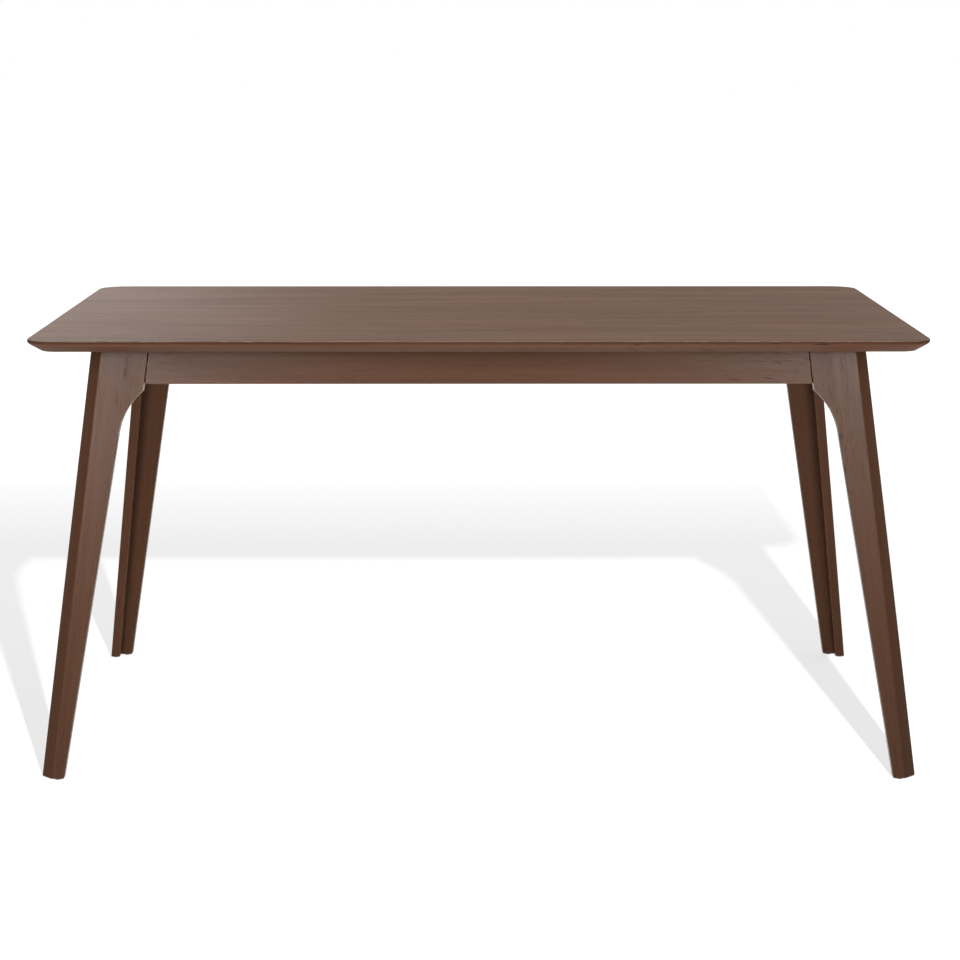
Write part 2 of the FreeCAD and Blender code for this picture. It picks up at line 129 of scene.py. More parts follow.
class Sheet:
    """A node tree that is being drawn, with short ways to add nodes and join them."""

    def __init__(self, tree: Tree) -> None:
        """Keeps the tree."""
        self.tree = tree

    def feed(self, socket: Socket, value: object) -> None:
        """Links an output to an input, or sets the input's value.

        Args:
            socket: input to feed.
            value: output socket or plain value.
        """
        if isinstance(value, Socket):
            self.tree.links.new(value, socket)
        else:
            socket.default_value = value

    def add(self, kind: str, inputs: dict | None = None, **settings: object) -> Node:
        """Adds a node.

        Args:
            kind: type name of the node.
            inputs: values or sockets, by the name or number of the input.
            settings: properties of the node.

        Returns:
            The new node.
        """
        node = self.tree.nodes.new(kind)
        for name, value in settings.items():
            setattr(node, name, value)
        for key, value in (inputs or {}).items():
            self.feed(node.inputs[key], value)
        return node

    def first(self, kind: str, inputs: dict | None = None, **settings: object) -> Socket:
        """First output of a new node."""
        return self.add(kind, inputs, **settings).outputs[0]

    def placed(self, group: Tree, inputs: dict) -> Node:
        """Places a shared group with its inputs."""
        return self.add("ShaderNodeGroup", inputs, node_tree=group)

    def math(self, operation: str, *values: object, clamp: bool = False) -> Socket:
        """Adds a sum on numbers, kept between 0 and 1 where it is clamped."""
        return self.first("ShaderNodeMath", dict(enumerate(values)), operation=operation, use_clamp=clamp)

    def vector(self, operation: str, *values: object) -> Socket:
        """Adds a sum on vectors."""
        return self.first("ShaderNodeVectorMath", dict(enumerate(values)), operation=operation)

    def combined(self, x: object = 0.0, y: object = 0.0, z: object = 0.0) -> Socket:
        """Joins three numbers to a vector."""
        return self.first("ShaderNodeCombineXYZ", {"X": x, "Y": y, "Z": z})

    def object_place(self) -> Socket:
        """Place on the piece, in metres."""
        return self.add("ShaderNodeTexCoord").outputs["Object"]

    def around_zero(self, value: Socket, reach: object) -> Socket:
        """Centres a noise between 0 and 1 on zero and scales it."""
        return self.math("MULTIPLY", self.math("SUBTRACT", value, 0.5), reach)

    def noise_texture(self, place: Socket, scale: object, detail: float, roughness: float) -> Node:
        """Adds a noise texture.

        Args:
            place: vector to follow.
            scale: cycles to the metre along each axis.
            detail: number of finer layers.
            roughness: share of the finer layers.

        Returns:
            The texture node.
        """
        scaled = self.vector("MULTIPLY", place, scale)
        inputs = {"Vector": scaled, "Scale": 1.0, "Detail": detail, "Roughness": roughness}
        return self.add("ShaderNodeTexNoise", inputs)

    def noise(self, place: Socket, scale: object, detail: float, roughness: float = 0.5) -> Socket:
        """Value of a new noise texture."""
        return self.noise_texture(place, scale, detail, roughness).outputs["Fac"]

    def step(self, value: Socket, ends: Flat) -> Socket:
        """Adds a soft step from 0 to 1 between two ends."""
        inputs = {"Value": value, "From Min": ends[0], "From Max": ends[1]}
        return self.add("ShaderNodeMapRange", inputs, interpolation_type="SMOOTHSTEP").outputs["Result"]

    def rise(self, value: Socket, ends: Flat, start: float) -> Socket:
        """Adds a straight rise from a start to 1 between two ends."""
        inputs = {"Value": value, "From Min": ends[0], "From Max": ends[1], "To Min": start}
        return self.add("ShaderNodeMapRange", inputs).outputs["Result"]

    def blend(self, share: Socket, one: Socket, two: Colour) -> Socket:
        """Mixes a share of a second, plain colour into a colour."""
        return self.add("ShaderNodeMix", {0: share, 6: one, 7: (*two, 1.0)}, data_type="RGBA").outputs[2]

    def ramp(self, value: Socket, places: Sequence[float], colours: Sequence[Colour]) -> Socket:
        """Adds a colour ramp.

        Args:
            value: place on the ramp.
            places: places of its stops.
            colours: colours of its stops.

        Returns:
            The colour's socket.
        """
        node = self.add("ShaderNodeValToRGB", {"Fac": value})
        elements = node.color_ramp.elements
        while len(elements) < len(places):
            elements.new(1.0)
        for element, place, colour in zip(elements, places, colours):
            element.position = place
            element.color = (*colour, 1.0)
        return node.outputs["Color"]


def start_tree(
    name: str, kind: str, inputs: Sequence[tuple[str, str, object]], outputs: Sequence[tuple[str, str]]
) -> tuple[Sheet, Node, Node]:
    """Starts a node group with named sockets.

    Args:
        name: name of the group.
        kind: type of the tree.
        inputs: name, socket type and default (or None) of each input.
        outputs: name and socket type of each output.

    Returns:
        The sheet to draw on, and the group's input and output nodes.
    """
    tree = bpy.data.node_groups.new(name, kind)
    for label, socket_kind, default in inputs:
        socket = tree.interface.new_socket(name=label, in_out="INPUT", socket_type=socket_kind)
        if default is not None:
            socket.default_value = default
    for label, socket_kind in outputs:
        tree.interface.new_socket(name=label, in_out="OUTPUT", socket_type=socket_kind)
    sheet = Sheet(tree)
    return sheet, sheet.add("NodeGroupInput"), sheet.add("NodeGroupOutput")


def empty_sheet(holder: Material | bpy.types.World) -> Sheet:
    """Clears the node tree of a material or a world.

    Args:
        holder: the material or the world.

    Returns:
        The empty sheet.
    """
    holder.use_nodes = True
    sheet = Sheet(holder.node_tree)
    sheet.tree.nodes.clear()
    return sheet


@dataclass(frozen=True)
class Specks:
    """Short marks along the grain that gather in patches. Scales are in cycles to the metre."""

    scale: Place
    ends: Flat
    patch_scale: Place
    patch_ends: Flat
    patch_detail: float

    def mask(self, sheet: Sheet, place: Socket, amount: Socket) -> Socket:
        """Draws the marks.

        Args:
            sheet: the group's sheet.
            place: place in the grain.
            amount: how strong the marks are.

        Returns:
            The mask's socket.
        """
        marks = sheet.step(sheet.noise(place, self.scale, 1.0), self.ends)
        patches = sheet.step(sheet.noise(place, self.patch_scale, self.patch_detail), self.patch_ends)
        return sheet.math("MULTIPLY", sheet.math("MULTIPLY", marks, patches), amount)


PORES = Specks((60.0, 1500.0, 1500.0), (0.60, 0.72), (4.0, 45.0, 45.0), (0.38, 0.62), patch_detail=2.0)
FLECKS = Specks((34.0, 330.0, 330.0), (0.62, 0.74), (2.2, 18.0, 18.0), (0.46, 0.66), patch_detail=1.0)


class SharedEffects:
    """Shader groups that several finishes use. Scales are in cycles to the metre along each axis."""

    WANDER_SCALE = (0.8, 6.0, 6.0)
    WANDER_REACH = (0.0, 0.022, 0.022)
    BAND_SHARE = (0.35, 0.16, 0.16)
    STREAK_ROUGHNESS = 0.6
    STREAK_RELIEF = 0.5
    FIBRE_SCALE = (14.0, 1300.0, 1300.0)
    FIBRE_TONE = 0.22
    FLECK_SHIFT = (3.7, 1.3, 2.1)
    CLOUD_SCALE = (4.0, 28.0, 28.0)
    RUB_SCALE = (22.0, 700.0, 700.0)
    PORE_DULLNESS = 0.2
    PATCH_SCALE = (55.0, 55.0, 55.0)
    PATCH_ENDS = (0.35, 0.7)
    PATCH_SHARE = 0.6
    # Dullness of the faces that carry painted shade
    STAIN_DULLNESS = 1.6
    LINE_SCALE = (900.0, 900.0, 9000.0)
    LINE_ROUGHNESS = 0.12

    def __init__(self) -> None:
        """Builds every group once."""
        self.figure = self.board_figure()
        self.lacquer = self.satin_lacquer()
        self.edge = self.eased_edge()
        self.plate = self.plated_skin()

    def board_figure(self) -> Tree:
        """Figure of a board: drifting bands, streaks, fibres, pores and dark flecks along the grain.

        Returns:
            The group, which puts out a tone, a pore mask and a relief.
        """
        sheet, given, out = start_tree(
            "board_figure", "ShaderNodeTree",
            [("Grain", VECTOR, None), ("Along", NUMBER, 1.5), ("Across", NUMBER, 90.0),
             ("Bands", NUMBER, 1.0), ("Streaks", NUMBER, 1.0), ("Pores", NUMBER, 1.0),
             ("Flecks", NUMBER, 1.0)],
            [("Tone", NUMBER), ("Pores", NUMBER), ("Relief", NUMBER)],
        )
        grain = given.outputs["Grain"]
        wander = sheet.noise_texture(grain, self.WANDER_SCALE, 2.0, 0.5).outputs["Color"]
        drift = sheet.vector("SUBTRACT", wander, (0.5, 0.5, 0.5))
        bent = sheet.vector("ADD", grain, sheet.vector("MULTIPLY", drift, self.WANDER_REACH))

        across = given.outputs["Across"]
        stretch = sheet.combined(given.outputs["Along"], across, across)
        bands = sheet.noise(sheet.vector("MULTIPLY", bent, stretch), self.BAND_SHARE, 3.0)
        streaks = sheet.noise(bent, stretch, 5.0, self.STREAK_ROUGHNESS)
        fibres = sheet.noise(bent, self.FIBRE_SCALE, 2.0)
        tone = sheet.math("ADD", 0.5, sheet.around_zero(bands, given.outputs["Bands"]))
        tone = sheet.math("ADD", tone, sheet.around_zero(streaks, given.outputs["Streaks"]))
        tone = sheet.math("ADD", tone, sheet.around_zero(fibres, self.FIBRE_TONE), clamp=True)

        pores = PORES.mask(sheet, bent, given.outputs["Pores"])
        shifted = sheet.vector("ADD", bent, self.FLECK_SHIFT)
        flecks = FLECKS.mask(sheet, shifted, given.outputs["Flecks"])
        dark = sheet.math("MAXIMUM", pores, flecks)
        relief = sheet.math("SUBTRACT", sheet.around_zero(streaks, self.STREAK_RELIEF), dark)
        sheet.feed(out.inputs["Tone"], tone)
        sheet.feed(out.inputs["Pores"], dark)
        sheet.feed(out.inputs["Relief"], relief)
        return sheet.tree

    def satin_lacquer(self) -> Tree:
        """Rubbed lacquer's roughness, duller in the pores and in faint clouds.

        Returns:
            The group, which puts out a roughness.
        """
        sheet, given, out = start_tree(
            "satin_lacquer", "ShaderNodeTree",
            [("Grain", VECTOR, None), ("Base", NUMBER, 0.45), ("Spread", NUMBER, 0.1),
             ("Pores", NUMBER, 0.0)],
            [("Roughness", NUMBER)],
        )
        rough = given.outputs["Base"]
        for scale, detail in ((self.CLOUD_SCALE, 3.0), (self.RUB_SCALE, 2.0)):
            change = sheet.noise(given.outputs["Grain"], scale, detail)
            rough = sheet.math("ADD", rough, sheet.around_zero(change, given.outputs["Spread"]))
        dull = sheet.math("MULTIPLY", given.outputs["Pores"], self.PORE_DULLNESS)
        sheet.feed(out.inputs["Roughness"], sheet.math("ADD", rough, dull, clamp=True))
        return sheet.tree

    def eased_edge(self) -> Tree:
        """Patches of scuffs and painted highlight along the eased edges of a piece, and painted shade that
        darkens and dulls its chamfers and bare seams.

        Returns:
            The group, which puts out a mask of scuffs and painted highlight, a factor that paints shade on the
            colour and a dullness.
        """
        sheet, given, out = start_tree(
            "eased_edge", "ShaderNodeTree",
            [("Amount", NUMBER, 0.5), ("Depth", NUMBER, 0.7)],
            [("Mask", NUMBER), ("Tint", NUMBER), ("Dull", NUMBER)],
        )
        eased = sheet.add("ShaderNodeAttribute", attribute_name=EASED).outputs["Fac"]
        stain = sheet.add("ShaderNodeAttribute", attribute_name=PAINTED_SHADE).outputs["Fac"]
        # Patches of scuffs and painted highlight along the eased faces
        patches = sheet.step(sheet.noise(sheet.object_place(), self.PATCH_SCALE, 3.0), self.PATCH_ENDS)
        rubbed_and_lit = sheet.math("ADD", sheet.math("MULTIPLY", patches, self.PATCH_SHARE), 1 - self.PATCH_SHARE)
        mask = sheet.math("MULTIPLY", eased, rubbed_and_lit)
        # Painted shade: darkens the colour by the depth
        darker = sheet.math("MULTIPLY", stain, given.outputs["Depth"])
        sheet.feed(out.inputs["Mask"], sheet.math("MULTIPLY", mask, given.outputs["Amount"]))
        sheet.feed(out.inputs["Tint"], sheet.math("SUBTRACT", 1.0, darker))
        sheet.feed(out.inputs["Dull"], sheet.math("MULTIPLY", stain, self.STAIN_DULLNESS, clamp=True))
        return sheet.tree

    def plated_skin(self) -> Tree:
        """Skin of plated steel: cloudy plating, fine drawn lines and small scuffs.

        Returns:
            The group, which puts out a tone, a roughness and a relief.
        """
        sheet, given, out = start_tree(
            "plated_skin", "ShaderNodeTree",
            [("Cloud Scale", NUMBER, 500.0), ("Base", NUMBER, 0.3), ("Spread", NUMBER, 0.2)],
            [("Tone", NUMBER), ("Roughness", NUMBER), ("Relief", NUMBER)],
        )
        place = sheet.object_place()
        scale = given.outputs["Cloud Scale"]
        clouds = sheet.noise(place, sheet.combined(scale, scale, scale), 3.0)
        lines = sheet.noise(place, self.LINE_SCALE, 2.0)
        rough = sheet.math("ADD", given.outputs["Base"], sheet.around_zero(clouds, given.outputs["Spread"]))
        rough = sheet.math("ADD", rough, sheet.around_zero(lines, self.LINE_ROUGHNESS), clamp=True)
        sheet.feed(out.inputs["Tone"], clouds)
        sheet.feed(out.inputs["Roughness"], rough)
        sheet.feed(out.inputs["Relief"], lines)
        return sheet.tree


def start_material(name: str) -> tuple[Material, Sheet, Node]:
    """Starts a material with an empty Principled shader.

    Args:
        name: name of the finish.

    Returns:
        The material, its sheet and its shader node.
    """
    material = bpy.data.materials.new(name)
    sheet = empty_sheet(material)
    shader = sheet.add("ShaderNodeBsdfPrincipled")
    sheet.add("ShaderNodeOutputMaterial", {"Surface": shader.outputs["BSDF"]})
    return material, sheet, shader


def relief_normal(sheet: Sheet, height: Socket, strength: float, depth: float) -> Socket:
    """Turns a relief into a normal. The depth is that of a relief of 1, in metres."""
    inputs = {"Height": height, "Strength": strength, "Distance": depth}
    return sheet.add("ShaderNodeBump", inputs).outputs["Normal"]


@dataclass(frozen=True)
class WoodFinish:
    """A wood, stained and lacquered. Colours are linear."""

    TONE_PLACES = (0.25, 0.5, 0.78)
    RELIEF_DEPTH = 0.0004

    name: str
    dark: Colour
    middle: Colour
    light: Colour
    pore: Colour
    # Edge colour: scuffs, and a painted highlight on the top's arris and on the ears' curves
    worn: Colour
    along: float = 1.6
    across: float = 120.0
    bands: float = 0.7
    streaks: float = 0.8
    pores: float = 0.7
    flecks: float = 0.8
    wear: float = 0.4
    roughness: float = 0.45
    spread: float = 0.1
    specular: float = 0.5
    relief: float = 0.25
    source: GrainSource = GrainSource.BOARD

    def material(self, effects: SharedEffects) -> Material:
        """Draws the finish.

        Args:
            effects: the shared groups.

        Returns:
            The material.
        """
        material, sheet, shader = start_material(self.name)
        if self.source is GrainSource.BOARD:
            grain = sheet.add("ShaderNodeAttribute", attribute_name=GRAIN).outputs["Vector"]
        else:
            grain = sheet.object_place()
        figure = sheet.placed(effects.figure, {
            "Grain": grain, "Along": self.along, "Across": self.across, "Bands": self.bands,
            "Streaks": self.streaks, "Pores": self.pores, "Flecks": self.flecks}).outputs
        lacquer = sheet.placed(effects.lacquer, {
            "Grain": grain, "Base": self.roughness, "Spread": self.spread, "Pores": figure["Pores"]}).outputs
        edge = sheet.placed(effects.edge, {"Amount": self.wear}).outputs
        tone = sheet.ramp(figure["Tone"], self.TONE_PLACES, (self.dark, self.middle, self.light))
        filled = sheet.blend(figure["Pores"], tone, self.pore)
        # Eased faces get scuffs and a painted highlight
        rubbed_and_lit = sheet.blend(edge["Mask"], filled, self.worn)
        # Painted shade from the edge group darkens the colour
        shading = sheet.combined(edge["Tint"], edge["Tint"], edge["Tint"])
        normal = relief_normal(sheet, figure["Relief"], self.relief, self.RELIEF_DEPTH)
        sheet.feed(shader.inputs["Base Color"], sheet.vector("MULTIPLY", rubbed_and_lit, shading))
        sheet.feed(shader.inputs["Roughness"], sheet.math("MAXIMUM", lacquer["Roughness"], edge["Dull"]))
        sheet.feed(shader.inputs["Normal"], normal)
        shader.inputs["Specular IOR Level"].default_value = self.specular
        return material


@dataclass(frozen=True)
class MetalFinish:
    """A plated steel. Colours are linear."""

    TONE_PLACES = (0.3, 0.7)
    RELIEF = 0.15
    RELIEF_DEPTH = 0.00005

    name: str
    dull: Colour
    bright: Colour
    roughness: float = 0.32
    spread: float = 0.3

    def material(self, effects: SharedEffects) -> Material:
        """Draws the finish.

        Args:
            effects: the shared groups.

        Returns:
            The material.
        """
        material, sheet, shader = start_material(self.name)
        skin = sheet.placed(effects.plate, {"Base": self.roughness, "Spread": self.spread}).outputs
        tone = sheet.ramp(skin["Tone"], self.TONE_PLACES, (self.dull, self.bright))
        sheet.feed(shader.inputs["Base Color"], tone)
        sheet.feed(shader.inputs["Roughness"], skin["Roughness"])
        normal = relief_normal(sheet, skin["Relief"], self.RELIEF, self.RELIEF_DEPTH)
        sheet.feed(shader.inputs["Normal"], normal)
        shader.inputs["Metallic"].default_value = 1.0
        return material


@dataclass(frozen=True)
class SpeckledFinish:
    """A dense board or a moulded plastic with fine specks. Colours are linear."""

    TONE_PLACES = (0.3, 0.7)
    SPECK_DETAIL = 4.0
    SPECK_ROUGHNESS = 0.65
    SPREAD = 0.12
    RELIEF_DEPTH = 0.0002

    name: str
    dark: Colour
    light: Colour
    speck_scale: float
    roughness: float
    relief: float

    def material(self, effects: SharedEffects) -> Material:
        """Draws the finish.

        Args:
            effects: the shared groups.

        Returns:
            The material.
        """
        material, sheet, shader = start_material(self.name)
        place = sheet.object_place()
        specks = sheet.noise(place, (self.speck_scale,) * 3, self.SPECK_DETAIL, self.SPECK_ROUGHNESS)
        lacquer = sheet.placed(effects.lacquer, {
            "Grain": place, "Base": self.roughness, "Spread": self.SPREAD})
        tone = sheet.ramp(specks, self.TONE_PLACES, (self.dark, self.light))
        sheet.feed(shader.inputs["Base Color"], tone)
        sheet.feed(shader.inputs["Roughness"], lacquer.outputs["Roughness"])
        sheet.feed(shader.inputs["Normal"], relief_normal(sheet, specks, self.relief, self.RELIEF_DEPTH))
        return material


# The veneer's light edge colour is a painted highlight along the top's arris
WALNUT_VENEER = WoodFinish(
    "walnut_veneer", dark=(0.077, 0.0315, 0.0128), middle=(0.131, 0.0540, 0.0218),
    light=(0.182, 0.0855, 0.0410), pore=(0.045, 0.020, 0.011), worn=(0.430, 0.325, 0.272),
    along=3.6, across=88.0, bands=0.55, streaks=1.0, pores=0.6, flecks=0.7, wear=0.9,
    roughness=0.62, specular=0.12, relief=0.12)
# The stained wood's pale edge colour is a painted highlight on the ears' curves, with scuffs on other edges
STAINED_WOOD = WoodFinish(
    "stained_wood", dark=(0.075, 0.0262, 0.0088), middle=(0.113, 0.0415, 0.0155),
    light=(0.152, 0.0607, 0.0252), pore=(0.040, 0.017, 0.009), worn=(0.620, 0.520, 0.455),
    along=1.8, across=95.0, bands=0.45, streaks=0.55, flecks=0.9, wear=0.9, roughness=0.28, specular=0.17)
# A lighter copy of the stained wood: painted light standing in for the floor's bounce light on the top's
# bevel, with a painted highlight on the arris
PAINTED_LIGHT_LIPPING = replace(
    STAINED_WOOD, name="lipping_wood", dark=(0.118, 0.050, 0.027), middle=(0.180, 0.082, 0.047),
    light=(0.237, 0.116, 0.070), worn=(0.310, 0.215, 0.175), roughness=0.6, specular=0.12)
BACKING_VENEER = WoodFinish(
    "backing_veneer", dark=(0.075, 0.042, 0.026), middle=(0.115, 0.068, 0.044), light=(0.160, 0.102, 0.068),
    pore=(0.050, 0.028, 0.018), worn=(0.16, 0.10, 0.07), along=1.0, across=70.0, roughness=0.68, spread=0.08,
    specular=0.35, source=GrainSource.TABLE)
FRAME_WOOD = WoodFinish(
    "frame_wood", dark=(0.120, 0.072, 0.042), middle=(0.190, 0.118, 0.072), light=(0.262, 0.172, 0.112),
    pore=(0.085, 0.050, 0.030), worn=(0.30, 0.21, 0.14), along=2.4, across=110.0, roughness=0.7, spread=0.08,
    specular=0.35, wear=0.5)
DOWEL_WOOD = WoodFinish(
    "dowel_wood", dark=(0.30, 0.19, 0.10), middle=(0.42, 0.29, 0.17), light=(0.52, 0.38, 0.24),
    pore=(0.22, 0.14, 0.08), worn=(0.5, 0.37, 0.23), along=9.0, across=420.0, roughness=0.7, spread=0.06,
    specular=0.35, source=GrainSource.TABLE)
ZINC_STEEL = MetalFinish("zinc_steel", dull=(0.34, 0.35, 0.37), bright=(0.58, 0.59, 0.61))
SCREW_STEEL = MetalFinish("screw_steel", dull=(0.33, 0.25, 0.11), bright=(0.56, 0.45, 0.22), roughness=0.36)
CORE_BOARD = SpeckledFinish(
    "core_board", dark=(0.20, 0.13, 0.075), light=(0.34, 0.24, 0.15), speck_scale=420.0, roughness=0.8,
    relief=0.3)
GLIDE_PLASTIC = SpeckledFinish(
    "glide_plastic", dark=(0.018, 0.014, 0.011), light=(0.030, 0.024, 0.019), speck_scale=1600.0,
    roughness=0.42, relief=0.12)
ALL_FINISHES = (
    WALNUT_VENEER, STAINED_WOOD, PAINTED_LIGHT_LIPPING, BACKING_VENEER, FRAME_WOOD, DOWEL_WOOD, ZINC_STEEL,
    SCREW_STEEL, CORE_BOARD, GLIDE_PLASTIC)


class Finishes:
    """Every finish's material, drawn once and kept by its name."""

    def __init__(self) -> None:
        """Draws the materials."""
        effects = SharedEffects()
        self.by_name = {finish.name: finish.material(effects) for finish in ALL_FINISHES}

    def __getitem__(self, name: str) -> Material:
        """Material of a finish."""
        return self.by_name[name]


@dataclass(frozen=True)
class Solid:
    """Place of one packed fastener: the middle of its head or free end, its direction and its length."""

    start: Vector
    direction: Vector
    length: float

    def distance(self, point: Vector) -> float:
        """Distance of a point from the fastener's axis."""
        return (point - self.start).cross(self.direction).length


AXES = (LENGTHWISE, CROSSWISE, UP, Vector((1, 1, 0)).normalized(), Vector((1, -1, 0)).normalized())


def islands(bm: Draft) -> list[np.ndarray]:
    """Splits a merged mesh into its separate solids.

    Args:
        bm: mesh to split.

    Returns:
        The points of each solid.
    """
    left = set(bm.verts)
    found = []
    while left:
        reached = [left.pop()]
        members = []
        while reached:
            vertex = reached.pop()
            members.append(vertex.co[:])
            for edge in vertex.link_edges:
                other = edge.other_vert(vertex)
                if other in left:
                    left.remove(other)
                    reached.append(other)
        found.append(np.array(members))
    return found


def cross_extents(points: np.ndarray, axis: Vector) -> Flat:
    """Widths of a solid across an axis, in two directions at a right angle.

    Args:
        points: the solid's points.
        axis: direction to look along.

    Returns:
        The two widths.
    """
    side = np.array(axis.orthogonal().normalized()) if axis.z else np.array(UP)
    other = np.cross(np.array(axis), side)
    return float(np.ptp(points @ side)), float(np.ptp(points @ other))


def place_of(points: np.ndarray) -> Solid:
    """Finds the axis of a round solid, from its wider end or else the end nearer the table's middle.

    Args:
        points: the solid's points.

    Returns:
        The solid's place.
    """
    axis = min(AXES, key=lambda each: abs(np.subtract(*cross_extents(points, each))))
    run = np.array(axis)
    along = points @ run
    low, high = along.min(), along.max()
    middle = (points.min(0) + points.max(0)) / 2
    away = np.linalg.norm(np.cross(points - middle, run), axis=1)
    reach = END_SHARE * (high - low)
    wide_low = away[along < low + reach].max()
    wide_high = away[along > high - reach].max()
    half = run * (high - low) / 2
    low_first = wide_low > wide_high
    if abs(wide_low - wide_high) < SAME_WIDTH:
        low_first = np.linalg.norm((middle - half)[:2]) < np.linalg.norm((middle + half)[:2])
    start = middle - half if low_first else middle + half
    direction = axis if low_first else -axis
    return Solid(Vector(start), direction.copy(), float(high - low))


def plain_mesh(piece: Piece) -> None:
    """Turns a piece's modifiers into its own plain mesh.

    Args:
        piece: object to settle.
    """
    depsgraph = bpy.context.evaluated_depsgraph_get()
    evaluated = piece.evaluated_get(depsgraph)
    mesh = bpy.data.meshes.new_from_object(evaluated, preserve_all_data_layers=True, depsgraph=depsgraph)
    mesh.name = piece.name
    piece.modifiers.clear()
    old = piece.data
    piece.data = mesh
    bpy.data.meshes.remove(old)


def linked(name: str, data: bpy.types.ID) -> Piece:
    """Puts a mesh, lamp or camera into the scene as an object at the origin.

    Args:
        name: name of the object.
        data: what it holds.

    Returns:
        The object.
    """
    piece = bpy.data.objects.new(name, data)
    bpy.context.scene.collection.objects.link(piece)
    return piece


def mesh_of(name: str, bm: Draft) -> Mesh:
    """Turns a worked mesh into mesh data and frees it.

    Args:
        name: name of the mesh.
        bm: the worked mesh.

    Returns:
        The mesh data.
    """
    mesh = bpy.data.meshes.new(name)
    bm.to_mesh(mesh)
    bm.free()
    return mesh


def bridge(bm: Draft, one: Sequence[bmesh.types.BMVert], two: Sequence[bmesh.types.BMVert]) -> None:
    """Joins two closed rings of as many points with faces.

    Args:
        bm: mesh to add to.
        one: points of the first ring.
        two: points of the second ring.
    """
    count = len(one)
    for index in range(count):
        after = (index + 1) % count
        bm.faces.new((one[index], one[after], two[after], two[index]))


def smooth_curves(piece: Piece) -> None:
    """Shades rounded edges smooth and keeps flat faces flat.

    Args:
        piece: object to shade.
    """
    piece.data.shade_smooth()
    piece.data.set_sharp_from_angle(angle=SHARP_ANGLE)
    weighted = piece.modifiers.new("flat_faces", "WEIGHTED_NORMAL")
    weighted.keep_sharp = True
    weighted.weight = FACE_WEIGHT
    plain_mesh(piece)


def grain_frame(along: Vector) -> Matrix:
    """Axes of a board: along its grain, across it and through its thickness.

    Args:
        along: direction of the grain.

    Returns:
        The axes as the rows of a matrix.
    """
    run = along.normalized()
    upright = CROSSWISE if abs(run.z) >= ALONG_COSINE else UP
    side = upright.cross(run).normalized()
    return Matrix((run, side, run.cross(side)))


def faces_along(edge: Edge, direction: Vector) -> bool:
    """Whether one of an edge's faces looks along a direction."""
    return any(face.normal.dot(direction) > ALONG_COSINE for face in edge.link_faces)


def under_top(edge: Edge) -> bool:
    """Whether an edge lies against the underside of the top."""
    return all(vertex.co.z > UNDERSIDE - LEVEL_TOLERANCE for vertex in edge.verts)


